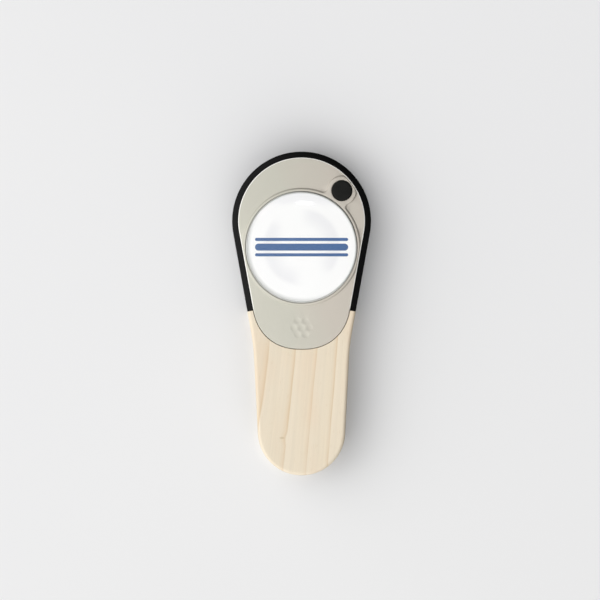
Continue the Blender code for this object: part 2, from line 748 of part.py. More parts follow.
def pivot_screw(material):
    """Screw that closes the pivot from the back."""
    break_edge = 0.2 * MM
    levels = [
        (PIVOT_SCREW_HEAD_R - break_edge, 0),
        (PIVOT_SCREW_HEAD_R, break_edge),
        (PIVOT_SCREW_HEAD_R, SCREW_HEAD_H),
        (PIVOT_SCREW_R, SCREW_HEAD_H),
        (PIVOT_SCREW_R, Z_FRONT_LINER - SCREW_SINK),
    ]
    mesh = screw_mesh("pivot_screw", levels, 1.2 * MM, 0.6 * MM, material)
    place("pivot_screw", mesh, (PIVOT.x, PIVOT.y, SCREW_SINK))


def fork_z():
    return Z_BAY + (BAY - FORK_T) / 2


def washers(material):
    """Thin washers that keep the fork clear of the liners."""
    rear = (PIVOT.x, PIVOT.y, Z_BAY + HAIR)
    front = (PIVOT.x, PIVOT.y, Z_FRONT_LINER - HAIR - WASHER_T)
    rear_hole_r = SPRING_POCKET_R + 0.5 * MM
    front_hole_r = BARREL_R + RUNNING_GAP
    tube("rear_washer", REAR_WASHER_R, rear_hole_r, WASHER_T, material, rear, steps=BORE_STEPS)
    tube("front_washer", FRONT_WASHER_R, front_hole_r, WASHER_T, material, front, steps=BORE_STEPS)


def spring_outer_angle():
    """Angle of the spring's outer end, which touches the peg."""
    return PEG_ANGLE + (PEG_R + SPRING_T / 2 + HAIR) / PEG_RADIUS


def spring_inner_angle():
    return spring_outer_angle() - SPRING_TURNS * tau


def torsion_spring(material):
    """Flat spiral spring round the barrel. Its outer end pushes the peg that throws the fork open."""
    inner_r, outer_r, height = 2.8 * MM, 3.6 * MM, 1.0 * MM
    steps = round(SPRING_TURNS * 18)
    path = [polar(1.95 * MM, spring_inner_angle())]
    for i in range(steps + 1):
        share = i / steps
        angle = spring_inner_angle() + SPRING_TURNS * tau * share
        path.append(polar(inner_r + (outer_r - inner_r) * share, angle))
    path.append(polar(4.35 * MM, spring_outer_angle()))
    inner_side = inset(path, SPRING_T / 2, closed=False)
    loop = inset(path, -SPRING_T / 2, closed=False) + list(reversed(inner_side))
    bm = bmesh.new()
    low, high = walls(bm, [(loop, 0), (loop, height)])
    fill(bm, low)
    fill(bm, high)
    return finish("torsion_spring", bm, material, (PIVOT.x, PIVOT.y, fork_z() + 0.15 * MM))


# ---------------------------------------------------------------- fork


def fork_outline():
    """The fork's outline about its pivot, pointing to -Y, anticlockwise from the crotch."""
    centre = Vector((0, 0))
    slot_half = 2.7 * MM
    tip = Vector((4.5 * MM, -FORK_LENGTH))
    tip_r = 0.7 * MM
    root = Vector((5.6 * MM, CROTCH_Y))
    neck = Vector((SHANK_HALF_W, -18 * MM))
    shank_top = Vector((SHANK_HALF_W, -9.5 * MM))
    shoulder_y = -4.3 * MM
    tang_end = asin(shoulder_y / TANG_R)
    right = arc(Vector((0, CROTCH_Y)), slot_half, pi / 2, 0, 8)
    right += arc(tip + Vector((-0.2 * MM, tip_r)), tip_r, -pi * 0.9, -0.05 * pi, 6)
    right += [root, neck, shank_top]
    right += arc(centre, TANG_R, tang_end, pi / 2, 20)
    return right[1:] + mirrored(right)[1:]


def fork(material, parent):
    """Two-pronged fork with its tang, the pocket for the spring and the peg's hole."""
    outline = fork_outline()
    edge = 0.35 * MM
    loops = [
        (inset(outline, edge), 0),
        (outline, edge),
        (outline, FORK_T - edge),
        (inset(outline, edge), FORK_T),
    ]
    centre = Vector((0, 0))
    peg = polar(PEG_RADIUS, PEG_ANGLE)
    pocket_end = SPRING_POCKET_DEPTH
    hole_r = BARREL_R + RUNNING_GAP
    peg_hole_r = PEG_R + RUNNING_GAP
    bm = bmesh.new()
    rear, front = walls(bm, loops)
    pocket_levels = [(SPRING_POCKET_R, 0), (SPRING_POCKET_R, pocket_end)]
    pocket, pocket_floor = bore(bm, centre, pocket_levels, BORE_STEPS)
    hole, hole_end = bore(bm, centre, [(hole_r, pocket_end), (hole_r, FORK_T)], BORE_STEPS)
    peg_hole_end = PEG_FOOT + PEG_LENGTH + RUNNING_GAP
    peg_levels = [(peg_hole_r, pocket_end), (peg_hole_r, peg_hole_end)]
    peg_mouth, _ = bore(bm, peg, peg_levels, is_blind=True)
    fill(bm, rear, pocket)
    fill(bm, pocket_floor, hole, peg_mouth)
    fill(bm, front, hole_end)
    body = finish("fork", bm, material, (0, 0, fork_z()), parent)
    lip = body.modifiers.new("lock_lip", "BOOLEAN")
    lip.operation = "UNION"
    lip.object = lock_lip(parent, material)
    return body


def lock_lip_z():
    return fork_z() + FORK_T - LOCK_LIP_SINK - LOCK_LIP_H


def lock_lip(parent, material):
    """Thin lip round the tang, with a scallop where the plunger stands when the fork is closed or open."""
    offset = BUTTON - PIVOT
    distance = offset.length
    closed_angle = atan2(offset.y, offset.x)
    scallop_r = COLLAR_R + 0.15 * MM
    half = acos((LOCK_LIP_R**2 + distance**2 - scallop_r**2) / (2 * LOCK_LIP_R * distance))
    facing = acos((distance**2 + scallop_r**2 - LOCK_LIP_R**2) / (2 * distance * scallop_r))
    loop = []
    for angle in (closed_angle, closed_angle + pi):
        middle = polar(distance, angle)
        loop += arc(middle, scallop_r, angle + pi + facing, angle + pi - facing, 6)
        loop += arc(Vector((0, 0)), LOCK_LIP_R, angle + half, angle + pi - half, 24)[1:-1]
    centre = Vector((0, 0))
    inner_r = TANG_R - 1.5 * MM
    bm = bmesh.new()
    low, high = walls(bm, [(loop, 0), (loop, LOCK_LIP_H)])
    inner_low, inner_high = bore(bm, centre, [(inner_r, 0), (inner_r, LOCK_LIP_H)], BORE_STEPS)
    fill(bm, low, inner_low)
    fill(bm, high, inner_high)
    cutter = finish("lock_lip", bm, material, (0, 0, lock_lip_z()), parent)
    cutter.hide_render = True
    cutter.display_type = "WIRE"
    return cutter


def spring_peg(material, parent):
    """Small steel peg in the tang that the spring pushes."""
    peg = polar(PEG_RADIUS, PEG_ANGLE)
    levels = [(PEG_R, 0), (PEG_R, PEG_LENGTH)]
    turned("spring_peg", levels, material, (peg.x, peg.y, fork_z() + PEG_FOOT), parent)


# ---------------------------------------------------------------- button


def button_top_z():
    return Z_FACE + RIM_H + BUTTON_PROUD


def button_flange_z():
    """Height of the button flange's underside. It has its travel and a hair of room above the liner."""
    return Z_FRONT_LINER + LINER + BUTTON_TRAVEL + BUTTON_ROOM


def button_cap(material, parent):
    """Black button that stands in the bolster's boss and is held in by its flange."""
    flange_z = button_flange_z()
    top = button_top_z()
    edge = 0.25 * MM
    half_way = edge * (1 - cos(pi / 4))
    bore_r = NECK_R + RUNNING_GAP
    bm = bmesh.new()
    centre = Vector((0, 0))
    outer = [
        (FLANGE_R, flange_z),
        (FLANGE_R, flange_z + FLANGE_H),
        (BUTTON_R, flange_z + FLANGE_H),
        (BUTTON_R, top - edge),
        (BUTTON_R - half_way, top - half_way),
        (BUTTON_R - edge, top),
    ]
    foot, crown = bore(bm, centre, outer, BORE_STEPS)
    bore_levels = [(bore_r, flange_z), (bore_r, neck_top_z() + HAIR)]
    bore_foot, _ = bore(bm, centre, bore_levels, BORE_STEPS, is_blind=True)
    bridge(bm, foot, bore_foot)
    bm.faces.new(crown)
    return finish("button_cap", bm, material, parent=parent)


def neck_top_z():
    return Z_FACE - NECK_SINK


def collar_top_z():
    """The collar stands just under the tang's lip, so that the fork can be turned on its own."""
    return lock_lip_z() - LOCK_GAP


def lock_plunger(material, parent):
    """Steel plunger under the button. Its collar stands in the tang's scallops to lock the fork."""
    top = collar_top_z()
    levels = [
        (COLLAR_R - 0.15 * MM, top - COLLAR_H),
        (COLLAR_R, top - COLLAR_H + 0.15 * MM),
        (COLLAR_R, top - 0.1 * MM),
        (COLLAR_R - 0.1 * MM, top),
        (NECK_R, top),
        (NECK_R, neck_top_z()),
    ]
    turned("lock_plunger", levels, material, parent=parent, steps=24)


def button_spring(material, parent):
    """Coil spring that lifts the plunger and the button."""
    wire_r, coil_r, turns = 0.15 * MM, 1.7 * MM, 2.5
    steps_per_turn = 14
    low = BUTTON_SPRING_FLOOR + HAIR + wire_r
    high = collar_top_z() - COLLAR_H - HAIR - wire_r
    curve = bpy.data.curves.new("button_spring", "CURVE")
    curve.dimensions = "3D"
    curve.bevel_depth = wire_r
    curve.bevel_resolution = 1
    curve.use_fill_caps = True
    steps = round(turns * steps_per_turn)
    spline = curve.splines.new("POLY")
    spline.points.add(steps)
    for i, point in enumerate(spline.points):
        place_2d = polar(coil_r, tau * i / steps_per_turn)
        point.co = (place_2d.x, place_2d.y, low + (high - low) * i / steps, 1)
    curve.materials.append(material)
    place("button_spring", curve, parent=parent)


# ---------------------------------------------------------------- ball marker


def marker_coin(material, parent, z):
    """Steel disc of the ball marker, with a thin lip round its edge."""
    inner = MARKER_R - COIN_LIP
    edge = 0.15 * MM
    levels = [
        (MARKER_R - edge, z),
        (MARKER_R, z + edge),
        (MARKER_R, z + MARKER_EDGE_H - 0.06 * MM),
        (MARKER_R - 0.06 * MM, z + MARKER_EDGE_H),
        (inner, z + MARKER_EDGE_H),
        (inner, z + COIN_H),
    ]
    return turned("marker_coin", levels, material, parent=parent, steps=RECESS_STEPS)


def marker_label(material, parent, z):
    """Printed white face of the marker."""
    radius = MARKER_R - COIN_LIP - RUNNING_GAP
    levels = [(radius, z), (radius, z + LABEL_H)]
    return turned("marker_label", levels, material, parent=parent, steps=RECESS_STEPS)


def marker_dome(material, parent, z):
    """Clear domed resin over the printed face."""
    radius = MARKER_R - COIN_LIP - RUNNING_GAP
    rings = 4
    levels = [(radius, z), (radius, z + DOME_EDGE_H)]
    for i in range(1, rings):
        share = 1 - i / rings
        levels.append((radius * share, z + DOME_EDGE_H + DOME_RISE * (1 - share**2)))
    return turned("marker_dome", levels, material, parent=parent, steps=RECESS_STEPS)


def main():
    for obj in list(bpy.data.objects):
        bpy.data.objects.remove(obj)

    champagne = make_material("champagne_metal", (203, 199, 187), 0.4, metallic=0.9)
    black_metal = make_material("black_metal", (22, 22, 22), 0.45, metallic=0.5)
    black_plastic = make_material("black_plastic", (32, 32, 30), 0.5)
    wood = make_material("pale_wood", (233, 219, 194), 0.55)
    steel = make_material("steel", (190, 190, 188), 0.3, metallic=1)
    brass = make_material("brass", (196, 164, 96), 0.35, metallic=1)
    nickel = make_material("nickel", (205, 205, 200), 0.2, metallic=1)
    white_print = make_material("white_print", (250, 249, 249), 0.4)
    clear_resin = make_material("clear_resin", (255, 255, 255), 0.05, alpha=0.2)

    rim_top = Z_FACE + RIM_H
    floor_z = rim_top - RECESS_DEPTH
    coin_z = floor_z + HAIR
    fork_axis = empty("fork_axis", (PIVOT.x, PIVOT.y, 0))
    button_axis = empty("button_axis", (BUTTON.x, BUTTON.y, 0))
    marker_axis = empty("marker_axis", (0, 0, 0))

    front_bolster(champagne)
    rear_bolster(champagne)
    front_wood_scale(wood)
    rear_wood_scale(wood)
    front_band = Z_FACE - BAND_BELOW_FACE - Z_FRONT_LINER
    rear_band = Z_BAY - BAND_BELOW_FACE
    neck_hole_r = NECK_R + 0.2 * MM
    frame("front_frame", front_band, neck_hole_r, 1, (0, 0, Z_FRONT_LINER), black_metal)
    frame("rear_frame", rear_band, COLLAR_HOLE_R, -1, (0, 0, Z_BAY), black_metal)
    spacer(black_plastic)
    magnet_levels = [(MAGNET_R, 0), (MAGNET_R, MAGNET_H - HAIR)]
    turned("marker_magnet", magnet_levels, nickel, (0, 0, floor_z - MAGNET_H), steps=BORE_STEPS)

    body_screws(steel)
    liner_screws(steel)
    inserts(brass)
    stops(steel)
    pivot_barrel(steel)
    pivot_screw(steel)
    washers(brass)
    torsion_spring(steel)

    fork(steel, fork_axis)
    spring_peg(steel, fork_axis)

    button_cap(black_plastic, button_axis)
    lock_plunger(steel, button_axis)
    button_spring(steel, button_axis)

    marker_coin(steel, marker_axis, coin_z)
    marker_label(white_print, marker_axis, coin_z + COIN_H + HAIR)
    marker_dome(clear_resin, marker_axis, coin_z + COIN_H + LABEL_H + 2 * HAIR)


main()
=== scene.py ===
"""Looks of a push-button divot repair tool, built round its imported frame.

The tool lies on its back: +X is to the right, +Y points to the head, +Z comes out of the front face, and
the origin is where the ball marker's axis meets the back face. Lengths are in metres. Every mesh stands in
place in that frame, so its material can work from the place in millimetres.
"""

import json
from math import acos, asin, atan2, ceil, cos, pi, radians, sin, tan, tau

import bmesh
import bpy
import numpy as np
from mathutils import Color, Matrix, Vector
from mathutils.geometry import delaunay_2d_cdt


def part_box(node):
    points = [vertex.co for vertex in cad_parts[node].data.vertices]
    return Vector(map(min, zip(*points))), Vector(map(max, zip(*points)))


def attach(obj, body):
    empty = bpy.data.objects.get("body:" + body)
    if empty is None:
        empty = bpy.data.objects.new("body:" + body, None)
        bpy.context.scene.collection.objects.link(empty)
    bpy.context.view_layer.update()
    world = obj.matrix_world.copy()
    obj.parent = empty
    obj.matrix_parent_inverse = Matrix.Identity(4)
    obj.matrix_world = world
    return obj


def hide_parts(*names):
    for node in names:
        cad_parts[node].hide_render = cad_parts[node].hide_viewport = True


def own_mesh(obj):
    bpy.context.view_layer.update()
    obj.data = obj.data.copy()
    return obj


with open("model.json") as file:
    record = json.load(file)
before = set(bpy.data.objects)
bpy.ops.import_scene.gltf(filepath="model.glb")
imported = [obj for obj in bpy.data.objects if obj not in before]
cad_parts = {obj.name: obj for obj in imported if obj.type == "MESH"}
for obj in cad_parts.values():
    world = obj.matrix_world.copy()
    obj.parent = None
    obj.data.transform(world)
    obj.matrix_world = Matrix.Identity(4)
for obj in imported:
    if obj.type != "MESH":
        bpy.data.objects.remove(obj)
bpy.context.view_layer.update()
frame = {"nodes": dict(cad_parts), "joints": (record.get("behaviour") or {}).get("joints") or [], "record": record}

MM = 0.001


def place_of(node):
    """Where a round node's axis stands."""
    low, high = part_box(node)
    return ((low + high) / 2).xy


def extent(node):
    """A round node's radius, and its lowest and highest z."""
    low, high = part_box(node)
    return (high.x - low.x) / 2, low.z, high.z


# Each node's material slot and body.
SLOTS = {part["node"]: part["material_slot"] for part in frame["record"]["subparts"]}
BODIES = {node: body for body, nodes in frame["record"]["behaviour"]["bodies"].items() for node in nodes}

# Levels and sizes that the frame gives.
LINER_LOW, LINER_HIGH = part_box("front_frame")
REAR_LINER_LOW, REAR_LINER_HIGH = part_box("rear_frame")
PLATE_LOW, PLATE_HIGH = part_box("front_bolster")
BACK_LOW, BACK_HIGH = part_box("rear_bolster")
SCALE_LOW, SCALE_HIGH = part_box("front_wood_scale")
FORK_LOW, FORK_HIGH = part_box("fork")
FLANGE_R, CAP_LOW_Z, CAP_TOP_Z = extent("button_cap")
_, PLUNGER_LOW_Z, PLUNGER_TOP_Z = extent("lock_plunger")
SCREW_HEAD_R, SCREW_LOW_Z, SCREW_TOP_Z = extent("body_head_screw")
Z_FACE = SCALE_HIGH.z
Z_RIM = PLATE_HIGH.z
LINER = 1.2 * MM
HAIR = 0.06 * MM
Z_BAY_LOW = REAR_LINER_HIGH.z
Z_BAY_HIGH = LINER_LOW.z

# Pear-shaped outline: a round head, straight flanks, a slight waist and a round end.
HEAD_R = extent("front_frame")[0]
HEAD_CENTRE = Vector((0, LINER_HIGH.y - HEAD_R))
FLANK_TILT = radians(10.3)
WAIST_TOP_Y = -24 * MM
WAIST_R = 60 * MM
HANDLE_TILT = radians(2.9)
CAP_TOP_Y = -53.4 * MM
BAND_END_Y = -18.3 * MM
BAND_W = 1.68 * MM
BAND_ROUND = 0.35 * MM
BAND_SLOPE = 0.45 * MM
PLATE_R = extent("front_bolster")[0]
PLATE_EDGE = HEAD_R - PLATE_R
PLATE_END_CENTRE_Y = -13.6 * MM
PLATE_END_TOP_Y = -17.6 * MM
PLATE_END_POWER = 2.3
WOOD_GAP = 0.12 * MM
WOOD_CORNER_SHARE = 0.04
WOOD_ROUND = 1.0 * MM
PLATE_ROUND = 0.34 * MM
PLATE_ROUND_DEPTH = 0.4
PLATE_END_ROUND = 0.12 * MM
EDGE_CHANGE = 1.5 * MM
CRISP = 0.08 * MM
FINE = 0.05 * MM

# Marker recess, raised rim and button boss.
ORIGIN = Vector((0, 0))
RECESS_R = 16.03 * MM
RECESS_DEPTH = 2.0 * MM
RECESS_ROUND = 0.11 * MM
RIM_R = 16.65 * MM
RIM_FOOT_GROW = 0.35 * MM
RIM_TOP_PULL = 0.17 * MM
RIM_SPACING = 0.02 * MM
BOSS_R = 4.1 * MM
BOSS_FILLET = 1.2 * MM
BUTTON = place_of("button_cap")
BUTTON_R = 2.85 * MM
BUTTON_HOLE_R = 2.98 * MM
FLANGE_H = 0.5 * MM
FLANGE_ROOM = 0.15 * MM
DIMPLE_CENTRE = Vector((0, -23 * MM))
DIMPLE_R = 0.95 * MM
DIMPLE_SPACING = 2.35 * MM
DIMPLE_DEPTH = 0.06 * MM
KNOT = Vector((-5.6 * MM, -54.5 * MM))
BAR_HALF = 13.3 * MM

# Fork, pivot and lock.
PIVOT = Vector(frame["joints"][0]["pos_m"]).xy
BARREL_R = 2.5 * MM
RUNNING_GAP = 0.06 * MM
TANG_R = 9.5 * MM
LOCK_LIP_R = 10.4 * MM
LOCK_LIP_SINK = 0.5 * MM
LOCK_LIP_H = 0.65 * MM
SHANK_HALF_W = 6.4 * MM
CROTCH_Y = -31 * MM
SPRING_POCKET_R = 4.7 * MM
SPRING_POCKET_DEPTH = 1.35 * MM
PEG_R = 0.35 * MM
PEG_RADIUS = 4.2 * MM
PEG_ANGLE = radians(150)
PEG_HOLE_DEPTH = 2.06 * MM
NECK_R = 1.0 * MM
NECK_HOLE_R = 1.2 * MM
COLLAR_R = 2.2 * MM
COLLAR_H = 2.2 * MM
COLLAR_HOLE_R = 2.4 * MM
SPRING_SEAT_Z = 0.8 * MM

# Fasteners.
SCREW_R = 0.8 * MM
SCREW_HOLE_R = 0.9 * MM
SCREW_HEAD_H = 1.0 * MM
COUNTERBORE_R = 1.6 * MM
COUNTERSINK_W = 0.6 * LINER
WASHER_ROOM = 0.5 * MM
THREAD_R = SCREW_R + RUNNING_GAP
THREAD_ROOM = 0.3 * MM
REAR_THREAD_DEPTH = 1.9 * MM
INSERT_R = 1.5 * MM
INSERT_DEPTH = 2.56 * MM
PIVOT_SCREW_R = 1.2 * MM
BARREL_HEAD_R = 3.5 * MM
BARREL_HEAD_H = 0.75 * MM
BARREL_HEAD_ROOM = 0.2 * MM
METAL_SCREWS = ["body_head_screw", "body_side_screw"]
WOOD_SCREWS = ["body_waist_screw", "body_end_screw_right", "body_end_screw_left"]
METAL_LINER_SCREWS = ["front_liner_screw_1", "front_liner_screw_2"]
WOOD_LINER_SCREWS = ["front_liner_screw_3"]
SPACER_TOP_Y = 8 * MM
SPACER_INNER_X = 8.3 * MM
SPACER_INNER_TOP_Y = -12 * MM
SPACER_FLOOR_Y = -51.5 * MM
SPACER_HEAD_W = 5 * MM
SPACER_SINK = 0.15 * MM

# How finely the curves are split.
ARC_ANGLE = radians(15)
EDGE_STEPS = 6
RIM_STEPS = 8
FILLET_STEPS = 14
TIP_STEPS = 16
CROTCH_STEPS = 24
HEAD_STEPS = 220
CAP_STEPS = 90
WAIST_STEPS = 30
BORE_STEPS = 64
BOSS_STEPS = 70
TANG_STEPS = 110
DISC_STEPS = 240
DOME_RINGS = 40
SHARP_ANGLE = radians(34)


# -------- outlines


def polar(radius, angle):
    return Vector((radius * cos(angle), radius * sin(angle)))


def arc(centre, radius, start, end, steps):
    """Points from angle start to angle end, both included."""
    return [centre + polar(radius, start + (end - start) * i / steps) for i in range(steps + 1)]


def circle(centre, radius, steps):
    return arc(centre, radius, 0, tau * (1 - 1 / steps), steps - 1)


def mirrored(points):
    """The same run on the other side of the Y axis, walked the other way."""
    return [Vector((-p.x, p.y)) for p in reversed(points)]


def inset(points, distance, closed=True):
    """Moves each point to the left of its path, so a loop that runs anticlockwise shrinks."""
    moved = []
    count = len(points)
    for i, point in enumerate(points):
        sides = [point - points[i - 1]] if closed or i > 0 else []
        sides += [points[(i + 1) % count] - point] if closed or i < count - 1 else []
        lefts = [Vector((-side.y, side.x)).normalized() for side in sides]
        mitre = (lefts[0] + lefts[-1]) / (1 + lefts[0].dot(lefts[-1]))
        moved.append(point + mitre * distance)
    return moved


def rounded(corners, closed=False):
    """A path through (x, y, radius) corners, each turned by an arc of that radius."""
    path = []
    count = len(corners)
    for i, (x, y, radius) in enumerate(corners):
        corner = Vector((x, y))
        is_end = not closed and i in (0, count - 1)
        if radius == 0 or is_end:
            path.append(corner)
            continue
        before = (Vector(corners[i - 1][:2]) - corner).normalized()
        after = (Vector(corners[(i + 1) % count][:2]) - corner).normalized()
        half = before.angle(after) / 2
        middle = corner + (before + after).normalized() * radius / sin(half)
        start = corner + before * radius / tan(half) - middle
        end = corner + after * radius / tan(half) - middle
        start_angle = atan2(start.y, start.x)
        turn = (atan2(end.y, end.x) - start_angle + pi) % tau - pi
        path += arc(middle, radius, start_angle, start_angle + turn, max(2, ceil(abs(turn) / ARC_ANGLE)))
    return path


FLANK_NORMAL = Vector((cos(FLANK_TILT), -sin(FLANK_TILT)))
HEAD_TANGENT = HEAD_CENTRE + HEAD_R * FLANK_NORMAL
FLANK_DIRECTION = Vector((-sin(FLANK_TILT), -cos(FLANK_TILT)))


def flank_point(y):
    """A point on the straight right-hand flank."""
    return Vector((HEAD_TANGENT.x - (HEAD_TANGENT.y - y) * tan(FLANK_TILT), y))


def waist():
    """The right-hand waist curve, from the handle up to the flank."""
    centre = flank_point(WAIST_TOP_Y) + WAIST_R * FLANK_NORMAL
    return arc(centre, WAIST_R, pi - HANDLE_TILT, pi - FLANK_TILT, WAIST_STEPS)


def head_run():
    """The outline from the band's right-hand end, over the head, to its left-hand end."""
    over = arc(HEAD_CENTRE, HEAD_R, -FLANK_TILT, pi + FLANK_TILT, HEAD_STEPS)
    band_end = [flank_point(BAND_END_Y)]
    return band_end + over + mirrored(band_end)


def handle_run(top_y):
    """The outline from top_y on the left, round the handle's end, to top_y on the right."""
    right = waist() + [flank_point(top_y)]
    waist_end = right[0]
    below = waist_end.y - CAP_TOP_Y
    cap_start = waist_end + Vector((-below * tan(HANDLE_TILT), -below))
    cap_r = cap_start.x / cos(HANDLE_TILT)
    cap_centre = Vector((0, cap_start.y + cap_r * sin(HANDLE_TILT)))
    cap = arc(cap_centre, cap_r, -pi + HANDLE_TILT, -HANDLE_TILT, CAP_STEPS)
    return mirrored(right) + cap + right


def end_share(y):
    """How far down the plate's rounded end a height is, from 0 at its widest to 1 at its tip."""
    return (PLATE_END_CENTRE_Y - y) / (PLATE_END_CENTRE_Y - PLATE_LOW.y)


def plate_end(grow, start_share):
    """The plate's rounded lower end, a superellipse, from its left side to its right side."""
    top_x = flank_point(PLATE_END_TOP_Y).x - PLATE_EDGE / cos(FLANK_TILT)
    half_w = top_x / (1 - end_share(PLATE_END_TOP_Y) ** PLATE_END_POWER) ** (1 / PLATE_END_POWER)
    depth = PLATE_END_CENTRE_Y - PLATE_LOW.y
    start = asin(start_share ** (PLATE_END_POWER / 2))
    points = []
    for i in range(CAP_STEPS + 1):
        angle = start + (pi - 2 * start) * i / CAP_STEPS
        across = abs(cos(angle)) ** (2 / PLATE_END_POWER)
        down = sin(angle) ** (2 / PLATE_END_POWER)
        side = 1 if cos(angle) < 0 else -1
        points.append(Vector((side * half_w * across, PLATE_END_CENTRE_Y - depth * down)))
    return inset(points, -grow, closed=False)


def plate_loop():
    """The face plate's outline, inside the band and rounded below."""
    head = arc(HEAD_CENTRE, PLATE_R, -FLANK_TILT, pi + FLANK_TILT, HEAD_STEPS)
    return head + plate_end(0, end_share(PLATE_END_TOP_Y))


def wood_runs():
    """The wood's outer run round the handle, and its inner run along the plate's end."""
    outer = handle_run(BAND_END_Y - WOOD_GAP)
    corner = outer[-1] - FLANK_NORMAL * (PLATE_EDGE - WOOD_GAP)
    left_corner = Vector((-corner.x, corner.y))
    curve = plate_end(WOOD_GAP, end_share(corner.y) + WOOD_CORNER_SHARE)
    return outer, [corner] + list(reversed(curve)) + [left_corner]


def keyhole_loop():
    """The raised rim's outline: a ring round the marker and a boss round the button, with fillets."""
    reach = RIM_R + BOSS_FILLET
    near = BOSS_R + BOSS_FILLET
    distance = BUTTON.length
    towards = atan2(BUTTON.y, BUTTON.x)
    spread = acos((reach**2 + distance**2 - near**2) / (2 * reach * distance))
    first = polar(reach, towards - spread)
    last = polar(reach, towards + spread)
    first_angle = atan2(BUTTON.y - first.y, BUTTON.x - first.x)
    last_angle = atan2(BUTTON.y - last.y, BUTTON.x - last.x)
    ring = arc(ORIGIN, RIM_R, towards + spread, towards - spread + tau, DISC_STEPS)
    boss = arc(first, BOSS_FILLET, towards - spread + pi, first_angle, FILLET_STEPS)[1:]
    boss += arc(BUTTON, BOSS_R, first_angle - pi, last_angle + pi, BOSS_STEPS)[1:]
    boss += arc(last, BOSS_FILLET, last_angle, towards + spread - pi, FILLET_STEPS)[1:-1]
    return ring + boss


def inside_plate(points, margin):
    """The points, with those nearer to the plate's edge than the margin moved in to it."""
    limit = PLATE_R - margin
    moved = []
    for point in points:
        side = 1 if point.x > HEAD_CENTRE.x else -1
        offset = Vector((side * (point.x - HEAD_CENTRE.x), point.y - HEAD_CENTRE.y))
        if offset.dot(FLANK_DIRECTION) < 0:
            offset *= min(1, limit / offset.length)
        else:
            offset -= FLANK_NORMAL * max(0, offset.dot(FLANK_NORMAL) - limit)
        moved.append(HEAD_CENTRE + Vector((side * offset.x, offset.y)))
    return moved


# -------- mesh building


def add_loop(bm, points, z):
    return [bm.verts.new((p.x, p.y, z)) for p in points]


def connect(bm, loops, closed=True):
    """Quads between each loop, or open run, and the next. Returns the first and the last."""
    count = len(loops[0])
    for lower, upper in zip(loops, loops[1:]):
        for i in range(count if closed else count - 1):
            j = (i + 1) % count
            bm.faces.new((lower[i], lower[j], upper[j], upper[i]))
    return loops[0], loops[-1]


def goes_round(outline, points):
    """1 for each point that a closed outline goes round, and 0 for the others."""
    start = np.array(outline)
    end = np.roll(start, 1, axis=0)
    rises = end[:, 1] - start[:, 1]
    rises[rises == 0] = 1
    height = points[:, 1:2]
    crosses = (start[:, 1] > height) != (end[:, 1] > height)
    meets_x = start[:, 0] + (height - start[:, 1]) * (end[:, 0] - start[:, 0]) / rises
    return (crosses & (points[:, 0:1] < meets_x)).sum(axis=1) % 2


def fill(bm, *loops):
    """Flat triangles over the first loop, open inside the others."""
    verts = [vert for loop in loops for vert in loop]
    points = [vert.co.xy for vert in verts]
    outlines = []
    edges = []
    for loop in loops:
        first = len(edges)
        outlines.append(points[first : first + len(loop)])
        edges += [(first + i, first + (i + 1) % len(loop)) for i in range(len(loop))]
    triangles = delaunay_2d_cdt(points, edges, [], 0, 1e-9)[2]
    places = np.array(points)
    middles = places[np.array(triangles)].mean(axis=1)
    depth = sum(goes_round(outline, middles) for outline in outlines)
    for triangle, level in zip(triangles, depth):
        if level == 1:
            bm.faces.new([verts[corner] for corner in triangle])


def walls(bm, levels):
    """Walls through a list of (points, z). Returns the first loop and the last."""
    return connect(bm, [add_loop(bm, points, z) for points, z in levels])


def bore(bm, centre, levels, steps=BORE_STEPS, is_blind=False):
    """Round walls through a list of (radius, z). Returns the mouth's loop and the far end's."""
    mouth, end = walls(bm, [(circle(centre, radius, steps), z) for radius, z in levels])
    if is_blind:
        bm.faces.new(end)
    return mouth, end


def edge_levels(z, way, radius):
    """(pull, z) pairs round an edge at height z, from its face to its wall, which runs up for way 1."""
    angles = [pi / 2 * i / EDGE_STEPS for i in range(EDGE_STEPS + 1)]
    return [(radius * (1 - sin(a)), z + way * radius * (1 - cos(a))) for a in angles]


def wall_levels(z_from, z_to, radius):
    """(pull, z) pairs up a wall with a crisp edge at its start and a rounded one at its end."""
    way = 1 if z_to > z_from else -1
    return edge_levels(z_from, way, CRISP) + edge_levels(z_to, -way, radius)[::-1]


def lathe(bm, centre, profile, is_ring=False, steps=BORE_STEPS):
    """Turns a (radius, z) profile round an upright axis. Unless it's a ring, it ends on the axis."""
    loops = [add_loop(bm, circle(centre, radius, steps) if radius else [centre], z) for radius, z in profile]
    if is_ring:
        loops.append(loops[0])
    for lower, upper in zip(loops, loops[1:]):
        if len(lower) > 1 and len(upper) > 1:
            connect(bm, [lower, upper])
            continue
        pole, loop = (lower[0], upper) if len(lower) == 1 else (upper[0], lower)
        for i, vert in enumerate(loop):
            bm.faces.new((pole, vert, loop[(i + 1) % steps]))


def new_object(name, data):
    obj = bpy.data.objects.new(name, data)
    bpy.context.scene.collection.objects.link(obj)
    return obj


def piece(name, bm, node):
    """Makes the piece that stands for a CAD node, with the node's slot and body."""
    bmesh.ops.recalc_face_normals(bm, faces=bm.faces)
    mesh = bpy.data.meshes.new(name)
    bm.to_mesh(mesh)
    bm.free()
    mesh.shade_smooth()
    mesh.set_sharp_from_angle(angle=SHARP_ANGLE)
    mesh.materials.append(LOOKS[SLOTS[node]])
    obj = new_object(name, mesh)
    flatten = obj.modifiers.new("even_normals", "WEIGHTED_NORMAL")
    flatten.keep_sharp = True
    flatten.weight = 100
    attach(obj, BODIES[node])
    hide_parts(node)
    return obj


